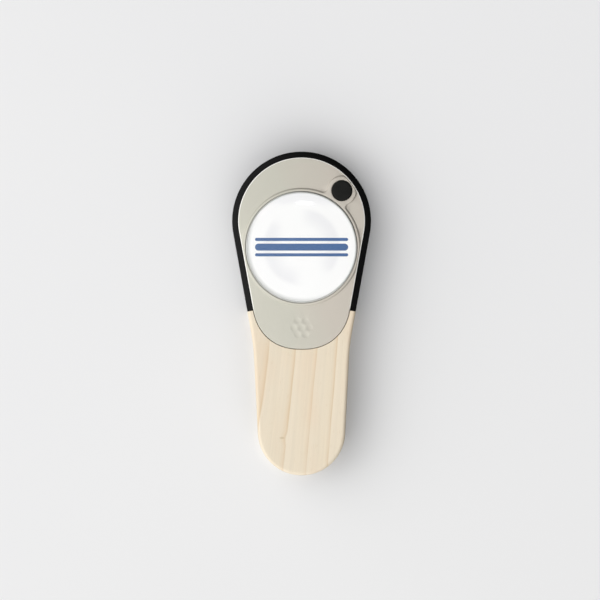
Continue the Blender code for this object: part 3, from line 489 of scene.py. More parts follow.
def turned(name, centre, corners, node, is_ring=False, steps=BORE_STEPS):
    """A turned piece from its profile's (radius, z, fillet) corners. A solid one ends on the axis."""
    if not is_ring:
        corners = [(0, corners[0][1], 0), *corners]
        if corners[-1][0] > 0:
            corners.append((0, corners[-1][1], 0))
    bm = bmesh.new()
    lathe(bm, centre, rounded(corners, closed=is_ring), is_ring, steps)
    return piece(name, bm, node)


# -------- materials


def colour(red, green, blue):
    """An sRGB colour of 0 to 255 as a linear one."""
    return (*Color((red / 255, green / 255, blue / 255)).from_srgb_to_scene_linear(), 1)


def maths(operation):
    """A Field method that adds one Math node."""

    def method(self, *others):
        return self.nodes.field("ShaderNodeMath", dict(enumerate([self, *others])), operation=operation)

    return method


class Field:
    """A number that varies from point to point. It takes part in Python's arithmetic."""

    __add__ = maths("ADD")
    __sub__ = maths("SUBTRACT")
    __mul__ = maths("MULTIPLY")
    __truediv__ = maths("DIVIDE")
    __abs__ = maths("ABSOLUTE")
    highest = maths("MAXIMUM")
    fraction = maths("FRACT")

    def __init__(self, nodes, socket):
        self.nodes = nodes
        self.socket = socket

    def __rsub__(self, other):
        return self * -1.0 + other

    def span(self, low, high, to_low=0.0, to_high=1.0, shape="LINEAR"):
        """Maps low to high on to to_low to to_high, and holds it there."""
        values = {0: self, 1: low, 2: high, 3: to_low, 4: to_high}
        return self.nodes.field("ShaderNodeMapRange", values, interpolation_type=shape)

    def ease(self, *limits):
        """A span that starts and ends softly."""
        return self.span(*limits, shape="SMOOTHSTEP")


class Nodes:
    """Short ways to add to a node tree."""

    def __init__(self, tree):
        self.tree = tree

    def add(self, kind, values=None, **settings):
        """Adds a node. values are for its inputs: a socket is linked, and anything else is set."""
        node = self.tree.nodes.new(kind)
        for key, setting in settings.items():
            setattr(node, key, setting)
        self.feed(node, values or {})
        return node

    def feed(self, node, values):
        for key, value in values.items():
            source = value.socket if isinstance(value, Field) else value
            if isinstance(source, bpy.types.NodeSocket):
                self.tree.links.new(source, node.inputs[key])
            else:
                node.inputs[key].default_value = source

    def field(self, kind, values=None, output=0, **settings):
        """Adds a node and returns one of its outputs as a field."""
        return Field(self, self.add(kind, values, **settings).outputs[output])

    def vector(self, operation, *operands):
        return self.add("ShaderNodeVectorMath", dict(enumerate(operands)), operation=operation)

    def stretch(self, vector, *factors):
        return self.vector("MULTIPLY", vector, factors).outputs[0]

    def length(self, vector):
        return Field(self, self.vector("LENGTH", vector).outputs["Value"])

    def split(self, vector):
        outputs = self.add("ShaderNodeSeparateXYZ", {0: vector}).outputs
        return [Field(self, output) for output in outputs]

    def join(self, x, y, z=0.0):
        return self.add("ShaderNodeCombineXYZ", {0: x, 1: y, 2: z}).outputs[0]


class Look(Nodes):
    """One material's nodes. Its point is the place in millimetres."""

    def __init__(self, name):
        self.material = bpy.data.materials.new(name)
        self.material.use_nodes = True
        super().__init__(self.material.node_tree)
        self.shader = self.tree.nodes["Principled BSDF"]
        place = self.add("ShaderNodeTexCoord").outputs["Object"]
        self.point = self.stretch(place, 1 / MM, 1 / MM, 1 / MM)

    def noise(self, scale, detail=2.0, roughness=0.5, place=None):
        """Noise of 0 to 1 at a place. A scale is one number, or one for each axis."""
        place = place or self.point
        if isinstance(scale, tuple):
            place = self.stretch(place, *scale)
            scale = 1.0
        values = {"Vector": place, "Scale": scale, "Detail": detail, "Roughness": roughness}
        return self.field("ShaderNodeTexNoise", values)

    def ramp(self, value, *stops):
        """A colour ramp from (place, colour) stops."""
        node = self.add("ShaderNodeValToRGB", {0: value})
        elements = node.color_ramp.elements
        while len(elements) < len(stops):
            elements.new(0.5)
        for element, (place, shade) in zip(elements, stops):
            element.position = place
            element.color = shade
        return node.outputs[0]

    def mix(self, share, first, second, blend="MIX"):
        values = {0: share, 6: first, 7: second}
        return self.add("ShaderNodeMix", values, data_type="RGBA", blend_type=blend).outputs[2]

    def shade(self, tone, base):
        """A colour made lighter or darker by a factor round 1."""
        return self.mix(1.0, base, self.join(tone, tone, tone), "MULTIPLY")

    def bump(self, height, depth, normal=None):
        """A normal from a height field of 0 to 1 that is depth millimetres deep."""
        values = {"Height": height, "Distance": depth * MM}
        if normal is not None:
            values["Normal"] = normal
        return self.add("ShaderNodeBump", values).outputs[0]

    def finish(self, base, roughness, normal, metallic=0.0, specular=0.5, coat=0.0):
        values = {"Base Color": base, "Roughness": roughness, "Normal": normal}
        values |= {"Metallic": metallic, "Specular IOR Level": specular, "Coat Weight": coat}
        self.feed(self.shader, values)
        return self.material

    def finish_with(self, surface):
        """Ends the material with another shader in the place of its own."""
        self.feed(self.tree.nodes["Material Output"], {"Surface": surface.outputs[0]})
        self.tree.nodes.remove(self.shader)
        return self.material


def champagne_metal(look):
    """Champagne anodised aluminium, bead-blasted, with a soft mottle and a few faint rub marks. It has painted
    shade that darkens it towards the right and the top, and a painted highlight on its edges beside the band.
    """
    mottle = look.noise(0.07, 3)
    grain = look.noise(4.5, 3, 0.6)
    blast = look.noise(11, 2, 0.7)
    rub = look.noise((0.5, 0.16, 0.5), 4, 0.7)
    x, y, _ = look.split(look.point)
    drift = (mottle - 0.5) * 25.0 + x
    base = look.mix(drift.span(-4.0, 12.0), colour(198, 196, 184), colour(202, 195, 184))
    # Painted shade: the plate is made darker towards the right and a little towards the top, where the light falls
    # off.
    base = look.shade(y * -0.0011 + x.span(-16.0, 12.0, 1.04, 0.93), base)
    base = look.shade(grain.span(0.3, 0.7, 0.98, 1.015), base)
    edge = painted_edge_highlight(look)
    # Painted highlight: the edges beside the band get a near-white colour and less metal, so they look lit from
    # every side.
    base = look.mix(edge, base, colour(250, 248, 242))
    roughness = grain.span(0.3, 0.7, 0.46, 0.54) + rub.span(0.55, 0.8, 0, -0.05)
    normal = look.bump(blast, 0.005, look.bump(grain, 0.006))
    return look.finish(base, roughness, normal, metallic=edge * -0.6 + 0.6, specular=0.3)


def painted_edge_highlight(look):
    """1 on the plates' rounded edges beside the band, and 0 elsewhere. This is where a painted highlight goes."""
    x, y, z = look.split(look.point)
    middle = Z_FACE / MM / 2
    depth = middle - abs(z - middle)
    edge = depth.span(0.002, 0.02) * depth.span(0.3, 0.34, 1.0, 0.0)
    beside_band = y.span(BAND_END_Y / MM, (BAND_END_Y + EDGE_CHANGE) / MM)
    outside_recess = look.length(look.join(x, y)).span(16.3, 16.5)
    outside_button = look.length(look.join(x - BUTTON.x / MM, y - BUTTON.y / MM)).span(3.2, 3.4)
    return edge * beside_band * outside_recess * outside_button


def black_metal(look):
    """Black anodised aluminium with a satin sheen."""
    grain = look.noise(6, 3, 0.6)
    wear = look.noise(0.35, 4, 0.65)
    base = look.mix(wear.span(0.5, 0.75), colour(2, 2, 2), colour(5, 5, 4))
    roughness = grain.span(0.3, 0.7, 0.34, 0.42) + wear.span(0.5, 0.75, 0, 0.06)
    return look.finish(base, roughness, look.bump(grain, 0.006), specular=0.14)


def black_plastic(look):
    """Moulded black plastic with a fine spark-eroded texture."""
    grain = look.noise(7, 3, 0.65)
    cloud = look.noise(0.5, 3)
    base = look.mix(cloud.span(0.35, 0.65), colour(16, 16, 14), colour(21, 21, 19))
    return look.finish(base, grain.span(0.3, 0.7, 0.48, 0.6), look.bump(grain, 0.014), specular=0.14)


def pale_wood(look):
    """Pale straight-grained wood: leaning growth rings, fibres, pores and a pin knot."""
    x, y, z = look.split(look.point)
    slow = look.noise((0.05, 0.014, 0.05), 2)
    wander = look.noise((0.25, 0.045, 0.25), 3)
    from_knot = look.vector("ADD", look.point, (-KNOT.x / MM, -KNOT.y / MM, 0)).outputs[0]
    bulge = look.length(look.stretch(from_knot, 1.0, 0.8, 0)).ease(0.3, 2.4, 0.4, 0.0)
    across = x - (y + 31.0) * x.span(-16, 16, 0.13, 0.05) + (z - Z_FACE / MM) * 0.45
    across = across + (slow - 0.5) * 3.0 + (wander - 0.5) * 0.8 + bulge
    ring = (across * (across * 0.00166 + 0.15) + 2.29).fraction()
    light = colour(231, 218, 196)
    base = look.ramp(
        ring,
        (0.0, light),
        (0.3, colour(230, 217, 194)),
        (0.78, colour(229, 215, 191)),
        (0.89, colour(226, 208, 180)),
        (0.95, colour(218, 194, 160)),
        (0.985, light),
    )
    fade = look.noise((0.22, 0.05, 0.22), 2)
    base = look.mix(fade.span(0.4, 0.65, 0.0, 0.55), base, light)
    place = look.join(across, y, z)
    fine = look.noise((1.1, 0.02, 1.0), 3, 0.6, place)
    fibre = look.noise((5.0, 0.16, 5.0), 3, 0.6, place)
    blush = look.noise((0.12, 0.05, 0.12), 2)
    base = look.mix(blush.span(0.5, 0.75, 0, 0.35), base, colour(234, 208, 180))
    base = look.shade(fine.span(0.3, 0.7, 0.965, 1.02), base)
    base = look.shade(fibre.span(0.25, 0.75, 0.975, 1.015), base)
    pores = look.noise((4.2, 0.5, 4.2), 1, 0.4, place).span(0.68, 0.76)
    base = look.mix(pores * 0.18, base, colour(206, 180, 142))
    knot_core = look.length(look.stretch(from_knot, 0.8, 1.7, 0))
    base = look.mix(knot_core.ease(0.2, 0.75, 0.5, 0.0), base, colour(186, 164, 122))
    normal = look.bump(pores * -0.6 + (ring * -0.25 + fibre), 0.018)
    return look.finish(base, fibre.span(0.25, 0.75, 0.42, 0.52), normal, specular=0.35, coat=0.06)


def steel(look):
    """Stainless steel brushed along the tool."""
    brush = look.noise((9, 0.35, 9), 3, 0.6)
    blotch = look.noise(0.12, 2)
    base = look.mix(blotch.span(0.35, 0.65), colour(186, 186, 183), colour(200, 200, 197))
    base = look.shade(brush.span(0.3, 0.7, 0.96, 1.02), base)
    return look.finish(base, brush.span(0.3, 0.7, 0.24, 0.36), look.bump(brush, 0.004), metallic=1.0)


def nickel(look):
    """Bright nickel plating with fine turning marks round the marker's axis."""
    radius = look.length(look.stretch(look.point, 1, 1, 0))
    rings = look.noise(6.0, 3, 0.6, look.join(radius, 0.0))
    base = look.shade(rings.span(0.3, 0.7, 0.97, 1.02), colour(205, 205, 201))
    return look.finish(base, rings.span(0.3, 0.7, 0.16, 0.26), look.bump(rings, 0.003), metallic=1.0)


def brass(look):
    """Turned brass, slightly dulled in patches."""
    patch = look.noise(0.6, 3)
    turning = look.noise((1, 1, 9), 2)
    base = look.mix(patch.span(0.35, 0.7), colour(206, 172, 104), colour(178, 142, 84))
    return look.finish(base, turning.span(0.3, 0.7, 0.24, 0.4), look.bump(turning, 0.004), metallic=1.0)


def bar(look, x, y, height, radius):
    """1 inside a round-ended bar along X at a height, and 0 outside it."""
    past_end = (abs(x) - (BAR_HALF / MM - radius)).highest(0.0)
    return look.length(look.join(past_end, y - height)).span(radius - 0.03, radius + 0.03, 1.0, 0.0)


def white_print(look):
    """White print with three plain blue aiming bars. It also has a painted reflection of the dome, a faint grey
    halo and a greyer top, and painted shade round its edge.
    """
    x, y, _ = look.split(look.point)
    radius = look.length(look.stretch(look.point, 1, 1, 0))
    # Painted reflection: a faint grey ring and a greyer top. They stand for the dome's reflections and are not
    # part of the print.
    ring = radius.ease(4.5, 9.8) * radius.ease(10.0, 11.8, 1.0, 0.0)
    arcs = abs((x * 0.94 + y * 0.34) / radius).ease(0.2, 0.7)
    painted_halo = (ring * arcs).highest(y.ease(11.0, 13.5, 0.0, 0.8))
    dots = look.noise(9, 2)
    # Painted shade where the dome's edge curves down: grey round the print's edge. The inner band is stronger on
    # the lower left and the outer one on the right.
    facing = y * -0.62 + x * -0.68
    painted_edge_shade = radius.ease(14.3, 15.5) * facing.ease(0.0, 12.0, 0.0, 0.6)
    painted_rim_shade = radius.span(15.2, 15.5) * x.span(-12.0, 6.0, 0.15, 0.85)
    base = look.mix(painted_halo, colour(254, 254, 253), colour(243, 243, 244))
    base = look.mix(painted_edge_shade.highest(painted_rim_shade), base, colour(188, 191, 186))
    base = look.shade(dots.span(0.3, 0.7, 0.99, 1.0), base)
    bars = bar(look, x, y, 0.0, 1.0)
    for height in (2.2, -2.2):
        bars = bars.highest(bar(look, x, y, height, 0.45))
    base = look.mix(bars, base, look.mix(dots.span(0.3, 0.7), colour(52, 96, 150), colour(58, 102, 155)))
    return look.finish(base, dots.span(0.3, 0.7, 0.4, 0.5), look.bump(dots, 0.002), specular=0.3)


def clear_resin(look):
    """Clear epoxy that lets the print through and mirrors the lights on its outer side."""
    ripple = look.noise(0.25, 2)
    normal = look.bump(ripple, 0.01)
    backface = look.field("ShaderNodeNewGeometry", output="Backfacing")
    rim = look.field("ShaderNodeFresnel", {"IOR": 1.5, "Normal": normal})
    through = look.add("ShaderNodeBsdfTransparent", {"Color": (0.99, 0.99, 0.99, 1)})
    gloss = {"Color": (1, 1, 1, 1), "Roughness": ripple.span(0.3, 0.7, 0.04, 0.06), "Normal": normal}
    mirror = look.add("ShaderNodeBsdfGlossy", gloss)
    shaders = {0: rim * (1.0 - backface), 1: through.outputs[0], 2: mirror.outputs[0]}
    return look.finish_with(look.add("ShaderNodeMixShader", shaders))


MAKERS = [champagne_metal, black_metal, black_plastic, pale_wood, steel, nickel, brass]
MAKERS += [white_print, clear_resin]
LOOKS = {maker.__name__: maker(Look(maker.__name__)) for maker in MAKERS}


# -------- handle


def bores(bm, nodes, levels):
    """The same hole on each node's axis. Returns the mouths and the far ends."""
    return zip(*[bore(bm, place_of(node), levels) for node in nodes])


def pits(bm, nodes, radius, mouth_z, floor_z):
    """The same straight blind hole on each node's axis. Returns the mouths."""
    levels = [(radius, mouth_z), (radius, floor_z)]
    return [bore(bm, place_of(node), levels, is_blind=True)[0] for node in nodes]


def countersunk(radius, z, way):
    """The last two levels of a hole at its mouth, with a small chamfer."""
    return [(radius, z + way * CRISP), (radius + CRISP, z)]


def rim_levels():
    """The rim's outer side: a smooth S-curve from the plate's face to the rim's top."""
    base = keyhole_loop()
    levels = []
    for i in range(RIM_STEPS + 1):
        share = i / RIM_STEPS
        rise = share * share * (3 - 2 * share)
        grow = RIM_FOOT_GROW - (RIM_TOP_PULL + RIM_FOOT_GROW) * share
        points = inside_plate(inset(base, -grow), PLATE_ROUND + RIM_SPACING * (i + 1))
        levels.append((points, Z_FACE + (Z_RIM - Z_FACE) * rise))
    return levels


def dimples(bm):
    """A cluster of seven shallow dimples below the marker. Returns their mouths."""
    centres = [DIMPLE_CENTRE] + circle(DIMPLE_CENTRE, DIMPLE_SPACING, 6)
    shares = [1, 0.94, 0.84, 0.7, 0.5, 0.25]
    levels = [(DIMPLE_R * share, Z_FACE - DIMPLE_DEPTH * (1 - share**2)) for share in shares]
    return [bore(bm, centre, levels, is_blind=True)[0] for centre in centres]


def plate_wall(bm, inner_z, outer_z):
    """A plate's side wall. Its outer edge is rounded more beside the band than beside the wood."""
    loop = plate_loop()
    wide = wall_levels(inner_z, outer_z, PLATE_ROUND)
    fine = wall_levels(inner_z, outer_z, PLATE_END_ROUND)
    levels = []
    for (pull, z), (fine_pull, fine_z) in zip(wide, fine):
        if abs(z - outer_z) <= PLATE_ROUND:
            z = outer_z + (z - outer_z) * PLATE_ROUND_DEPTH
        points = []
        for start, end in zip(inset(loop, pull), inset(loop, fine_pull)):
            share = min(1, max(0, (BAND_END_Y - start.y) / EDGE_CHANGE))
            points.append(Vector((*start.lerp(end, share), z + (fine_z - z) * share)))
        levels.append(points)
    return connect(bm, [[bm.verts.new(point) for point in points] for points in levels])


def face_plate():
    """The face plate, with the marker's recess, the magnet's pocket and the button's hole."""
    bm = bmesh.new()
    bottom, top = plate_wall(bm, PLATE_LOW.z, Z_FACE)
    rim_foot, rim_top = walls(bm, rim_levels())
    floor_z = Z_RIM - RECESS_DEPTH
    magnet_r, magnet_low_z, _ = extent("marker_magnet")
    pocket_r = magnet_r + RUNNING_GAP
    recess = [(RECESS_R + pull, z) for pull, z in edge_levels(Z_RIM, -1, RECESS_ROUND)]
    recess_mouth, recess_end = bore(bm, ORIGIN, recess + [(RECESS_R, floor_z)], DISC_STEPS)
    pocket = [(pocket_r + CRISP, floor_z), (pocket_r, floor_z - CRISP), (pocket_r, magnet_low_z - HAIR)]
    pocket_mouth, _ = bore(bm, ORIGIN, pocket, is_blind=True)
    fill(bm, recess_end, pocket_mouth)
    flange_r = FLANGE_R + FLANGE_ROOM
    flange_z = CAP_LOW_Z + FLANGE_H + 2 * HAIR
    hole = [(flange_r, PLATE_LOW.z), (flange_r, flange_z), (BUTTON_HOLE_R, flange_z)]
    hole += [(BUTTON_HOLE_R + pull, z) for pull, z in edge_levels(Z_RIM, -1, RECESS_ROUND)[::-1]]
    button_foot, button_mouth = bore(bm, BUTTON, hole)
    barrel_r = BARREL_HEAD_R + BARREL_HEAD_ROOM
    barrel = [(barrel_r, PLATE_LOW.z), (barrel_r, PLATE_LOW.z + BARREL_HEAD_H + 2 * HAIR)]
    feet = [button_foot, bore(bm, PIVOT, barrel, is_blind=True)[0]]
    threaded = METAL_SCREWS + METAL_LINER_SCREWS
    feet += pits(bm, threaded, THREAD_R, PLATE_LOW.z, SCREW_TOP_Z + THREAD_ROOM)
    fill(bm, bottom, *feet)
    fill(bm, top, rim_foot, *dimples(bm))
    fill(bm, rim_top, recess_mouth, button_mouth)
    piece("face_plate", bm, "front_bolster")


def screw_well(hole_r, head_r, inner_z):
    """Levels of a counterbored screw hole, from the inner face to the tool's back."""
    seat = SCREW_LOW_Z + SCREW_HEAD_H + HAIR
    return [(hole_r, inner_z), (hole_r, seat), (head_r, seat)] + countersunk(head_r, 0, 1)


def back_plate():
    """The back plate, with wells for the pivot screw and two body screws."""
    bm = bmesh.new()
    inner, outer = plate_wall(bm, BACK_HIGH.z, BACK_LOW.z)
    well = screw_well(SCREW_HOLE_R, COUNTERBORE_R, BACK_HIGH.z)
    pivot_head_r = extent("pivot_screw")[0] + COUNTERBORE_R - SCREW_HEAD_R
    pivot_well = screw_well(PIVOT_SCREW_R + SCREW_HOLE_R - SCREW_R, pivot_head_r, BACK_HIGH.z)
    mouths, ends = bores(bm, METAL_SCREWS, well)
    pivot_mouth, pivot_end = bore(bm, PIVOT, pivot_well)
    seat = pits(bm, ["button_cap"], COLLAR_HOLE_R, BACK_HIGH.z, SPRING_SEAT_Z)
    threads = pits(bm, METAL_LINER_SCREWS, THREAD_R, BACK_HIGH.z, BACK_HIGH.z - REAR_THREAD_DEPTH)
    fill(bm, inner, *mouths, pivot_mouth, *seat, *threads)
    fill(bm, outer, *ends, pivot_end)
    piece("back_plate", bm, "rear_bolster")


def wood_walls(bm, inner_z, outer_z):
    """A scale's side wall, softly rounded outside and crisp beside the plate."""
    outer, inner = wood_runs()
    soft = wall_levels(inner_z, outer_z, WOOD_ROUND)
    crisp = wall_levels(inner_z, outer_z, CRISP)
    levels = []
    for (pull, z), (inner_pull, _) in zip(soft, crisp):
        levels.append((inset(outer, pull, closed=False) + inset(inner, inner_pull, closed=False), z))
    return walls(bm, levels)


def front_scale():
    """The handle's front half, with sockets for threaded inserts."""
    bm = bmesh.new()
    inner, outer = wood_walls(bm, SCALE_LOW.z, SCALE_HIGH.z)
    nodes = WOOD_SCREWS + WOOD_LINER_SCREWS
    sockets = pits(bm, nodes, INSERT_R + RUNNING_GAP, SCALE_LOW.z, SCALE_LOW.z + INSERT_DEPTH)
    fill(bm, inner, *sockets)
    fill(bm, outer)
    piece("front_scale", bm, "front_wood_scale")


def rear_scale():
    """The handle's rear half, counterbored for the body screws."""
    bm = bmesh.new()
    inner, outer = wood_walls(bm, BACK_HIGH.z, BACK_LOW.z)
    well = screw_well(SCREW_HOLE_R, COUNTERBORE_R, BACK_HIGH.z)
    mouths, ends = bores(bm, WOOD_SCREWS, well)
    floor_z = BACK_HIGH.z - REAR_THREAD_DEPTH
    socket = pits(bm, WOOD_LINER_SCREWS, INSERT_R + RUNNING_GAP, BACK_HIGH.z, floor_z)
    fill(bm, inner, *mouths, *socket)
    fill(bm, outer, *ends)
    piece("rear_scale", bm, "rear_wood_scale")


def liner(name, node, bay_z, way, band_z, button_hole_r):
    """A black liner plate. The head's band stands on its outer side and has a sloping top."""
    bm = bmesh.new()
    head = head_run()
    handle = handle_run(BAND_END_Y)[1:-1]
    shelf_z = bay_z + way * LINER
    rows = [(inset(head + handle, pull), z) for pull, z in edge_levels(bay_z, way, CRISP)]
    foot, shelf = walls(bm, rows + [(head + handle, shelf_z)])
    band_foot = add_loop(bm, inset(head, BAND_W, closed=False), shelf_z)
    corners = [(0, shelf_z, 0), (0, band_z - way * BAND_SLOPE, BAND_ROUND)]
    section = rounded(corners + [(BAND_W, band_z, CRISP), (BAND_W, shelf_z, 0)])
    crown = [add_loop(bm, inset(head, point.x, closed=False), point.y) for point in section[1:-1]]
    rows = [shelf[: len(head)], *crown, band_foot]
    connect(bm, rows, closed=False)
    for end in (0, -1):
        bm.faces.new([row[end] for row in rows])
    feet, tops = [], []
    pivot_r = BARREL_R + RUNNING_GAP
    countersink_r = SCREW_R + COUNTERSINK_W + RUNNING_GAP
    for nodes, near_r, far_r in (
        (["pivot_barrel"], pivot_r, pivot_r),
        (["button_cap"], button_hole_r, button_hole_r),
        (METAL_SCREWS + WOOD_SCREWS, SCREW_HOLE_R, SCREW_HOLE_R),
        (METAL_LINER_SCREWS + WOOD_LINER_SCREWS, countersink_r, SCREW_HOLE_R),
        (["closed_stop_pin"], SCREW_HOLE_R, SCREW_HOLE_R),
    ):
        near, far = bores(bm, nodes, [(near_r, bay_z), (far_r, shelf_z)])
        feet += near
        tops += far
    fill(bm, foot, *feet)
    handle_shelf = [shelf[len(head) - 1]] + shelf[len(head) :] + [shelf[0]]
    fill(bm, handle_shelf + band_foot, *tops)
    piece(name, bm, node)


def bay_spacer():
    """J-shaped spacer that closes the bay on the right and round the handle's end."""
    top = HEAD_CENTRE + polar(HEAD_R, asin((SPACER_TOP_Y - HEAD_CENTRE.y) / HEAD_R))
    outline = handle_run(BAND_END_Y)
    floor = [p for p in outline if p.y < SPACER_FLOOR_Y]
    right = [p for p in outline if p.x > 0 and p.y >= SPACER_FLOOR_Y]
    head = [p for p in head_run() if p.x > 0 and BAND_END_Y + HAIR < p.y < SPACER_TOP_Y - HAIR]
    inner_floor = Vector((SPACER_INNER_X, SPACER_FLOOR_Y))
    inner_waist = Vector((SPACER_INNER_X, SPACER_INNER_TOP_Y))
    shoulder = Vector((top.x - SPACER_HEAD_W, SPACER_TOP_Y))
    outer = inset(floor + right + head + [top], SPACER_SINK, closed=False)
    loop = outer + [shoulder, inner_waist, inner_floor]
    low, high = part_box("spacer")
    bm = bmesh.new()
    levels = wall_levels(low.z, high.z, CRISP)
    lower, upper = walls(bm, [(inset(loop, pull), z) for pull, z in levels])
    hole = [(SCREW_HOLE_R, low.z), (SCREW_HOLE_R, high.z)]
    mouths, ends = bores(bm, METAL_SCREWS[1:] + WOOD_SCREWS, hole)
    fill(bm, lower, *mouths)
    fill(bm, upper, *ends)
    piece("bay_spacer", bm, "spacer")


# -------- fasteners


def socket_screw(name, node, shank_r, socket_r):
    """A screw with a hexagonal socket in its head. Its thread is drawn plain."""
    socket_depth = 0.6 * MM
    head_r, low_z, high_z = extent(node)
    shoulder_z = low_z + SCREW_HEAD_H
    corners = [(head_r - 3 * CRISP, low_z, 0), (head_r, low_z, 1.5 * CRISP), (head_r, shoulder_z, CRISP / 2)]
    corners += [(shank_r, shoulder_z, 0), (shank_r, high_z, CRISP), (shank_r / 2, high_z, 0)]
    centre = place_of(node)
    bm = bmesh.new()
    rim, tip = bore(bm, centre, rounded(corners))
    bm.faces.new(tip)
    drive = [(socket_r + CRISP, low_z), (socket_r, low_z + CRISP / 2), (socket_r, low_z + socket_depth)]
    mouth, _ = bore(bm, centre, drive, 6, is_blind=True)
    fill(bm, rim, mouth)
    piece(name, bm, node)


def fasteners():
    """Five body screws, the pivot screw, the standoff, the stop pin and two washers."""
    for node in METAL_SCREWS + WOOD_SCREWS:
        socket_screw(node.replace("body", "socket"), node, SCREW_R, socket_r=0.75 * MM)
    socket_screw("pivot_cap_screw", "pivot_screw", PIVOT_SCREW_R, socket_r=1.2 * MM)
    for name, node, hole_r in (
        ("head_standoff", "open_stop_standoff", SCREW_HOLE_R),
        ("back_washer", "rear_washer", SPRING_POCKET_R + WASHER_ROOM),
        ("face_washer", "front_washer", BARREL_R + RUNNING_GAP),
    ):
        radius, low_z, high_z = extent(node)
        corners = [(hole_r, low_z, FINE), (radius, low_z, CRISP)]
        corners += [(radius, high_z, CRISP), (hole_r, high_z, FINE)]
        turned(name, place_of(node), corners, node, is_ring=True)
    radius, low_z, high_z = extent("closed_stop_pin")
    foot_z, top_z = Z_BAY_LOW + HAIR, Z_BAY_HIGH - HAIR
    corners = [(SCREW_R, low_z, CRISP), (SCREW_R, foot_z, 0), (radius, foot_z, CRISP)]
    corners += [(radius, top_z, CRISP), (SCREW_R, top_z, 0), (SCREW_R, high_z, CRISP)]
    turned("fork_stop_pin", place_of("closed_stop_pin"), corners, "closed_stop_pin")


# -------- fork


def fork_outline():
    """The fork's outline about its pivot, pointing to -Y, anticlockwise from the crotch."""
    slot_half = 2.7 * MM
    length = PIVOT.y - FORK_LOW.y
    tip = Vector((4.5 * MM, -length))
    tip_r = 0.7 * MM
    root = Vector((5.6 * MM, CROTCH_Y))
    neck = Vector((SHANK_HALF_W, -18 * MM))
    shank_top = Vector((SHANK_HALF_W, -9.5 * MM))
    tang_end = asin(-4.3 * MM / TANG_R)
    shoulder = polar(TANG_R, tang_end)
    right = arc(Vector((0, CROTCH_Y)), slot_half, pi / 2, 0, CROTCH_STEPS)
    right += arc(tip + Vector((-0.2 * MM, tip_r)), tip_r, -pi * 0.9, -0.05 * pi, TIP_STEPS)
    for start, end, steps in ((root, neck, 6), (neck, shank_top, 4), (shank_top, shoulder, 10)):
        right += [start.lerp(end, i / steps) for i in range(steps)]
    right += arc(ORIGIN, TANG_R, tang_end, pi / 2, TANG_STEPS)
    return right[1:] + mirrored(right)[1:]


def lock_lip(points, pull):
    """The outline pushed out to the lock's lip, which is scalloped where the plunger stands."""
    offset = BUTTON - PIVOT
    scallop_r = COLLAR_R + 0.15 * MM
    closed_angle = atan2(offset.y, offset.x)
    moved = []
    for point in points:
        reach = LOCK_LIP_R
        for scallop_angle in (closed_angle, closed_angle + pi):
            swing = atan2(point.y, point.x) - scallop_angle
            room = scallop_r**2 - (offset.length * sin(swing)) ** 2
            if cos(swing) > 0 and room > 0:
                reach = min(reach, offset.length * cos(swing) - room**0.5)
        is_on_shank = point.y < -9.4 * MM
        length = point.length if is_on_shank else max(point.length, reach - pull)
        moved.append(point.normalized() * length)
    return moved


def fork_blade():
    """The two-pronged fork with its lock lip, the spring's pocket and the peg's hole."""
    outline = fork_outline()
    low_z, high_z = FORK_LOW.z, FORK_HIGH.z
    lip_high = high_z - LOCK_LIP_SINK
    lip_low = lip_high - LOCK_LIP_H
    edge = 0.35 * MM
    rows = [(inset(outline, pull), z) for pull, z in edge_levels(low_z, 1, edge)]
    lip, lip_edge = lock_lip(outline, 0), lock_lip(outline, CRISP)
    rows += [(outline, lip_low), (lip_edge, lip_low), (lip, lip_low + CRISP)]
    rows += [(lip, lip_high - CRISP), (lip_edge, lip_high), (outline, lip_high)]
    rows += [(inset(outline, pull), z) for pull, z in edge_levels(high_z, -1, edge)[::-1]]
    shifted = [([point + PIVOT for point in points], z) for points, z in rows]
    pocket_z = low_z + SPRING_POCKET_DEPTH
    hole_r = BARREL_R + RUNNING_GAP
    peg_hole_r = PEG_R + RUNNING_GAP
    bm = bmesh.new()
    rear, front = walls(bm, shifted)
    pocket_levels = countersunk(SPRING_POCKET_R, low_z, 1)[::-1] + [(SPRING_POCKET_R, pocket_z)]
    pocket, pocket_floor = bore(bm, PIVOT, pocket_levels)
    hole, hole_end = bore(bm, PIVOT, [(hole_r, pocket_z)] + countersunk(hole_r, high_z, -1))
    peg_levels = [(peg_hole_r, pocket_z), (peg_hole_r, low_z + PEG_HOLE_DEPTH)]
    peg_mouth, _ = bore(bm, PIVOT + polar(PEG_RADIUS, PEG_ANGLE), peg_levels, 24, is_blind=True)
    fill(bm, rear, pocket)
    fill(bm, pocket_floor, hole, peg_mouth)
    fill(bm, front, hole_end)
    piece("fork_blade", bm, "fork")


# -------- button


def button():
    """The button, the lock plunger under it and the plunger's spring."""
    flange_top = CAP_LOW_Z + FLANGE_H
    crown = 0.06 * MM
    bore_r = NECK_R + RUNNING_GAP
    corners = [(bore_r, PLUNGER_TOP_Z + HAIR, 0), (bore_r, CAP_LOW_Z, 0), (FLANGE_R, CAP_LOW_Z, CRISP)]
    corners += [(FLANGE_R, flange_top, CRISP), (BUTTON_R, flange_top, FINE)]
    corners += [(BUTTON_R, CAP_TOP_Z - crown, 0.3 * MM), (BUTTON_R * 0.7, CAP_TOP_Z - crown / 3, 1.2 * MM)]
    corners.append((0, CAP_TOP_Z, 0))
    turned("push_button", BUTTON, corners, "button_cap")
    collar_top = PLUNGER_LOW_Z + COLLAR_H
    corners = [(COLLAR_R, PLUNGER_LOW_Z, 0.15 * MM), (COLLAR_R, collar_top, 0.1 * MM)]
    corners += [(NECK_R, collar_top, FINE), (NECK_R, PLUNGER_TOP_Z, CRISP)]
    turned("plunger", BUTTON, corners, "lock_plunger")
    coil_spring()


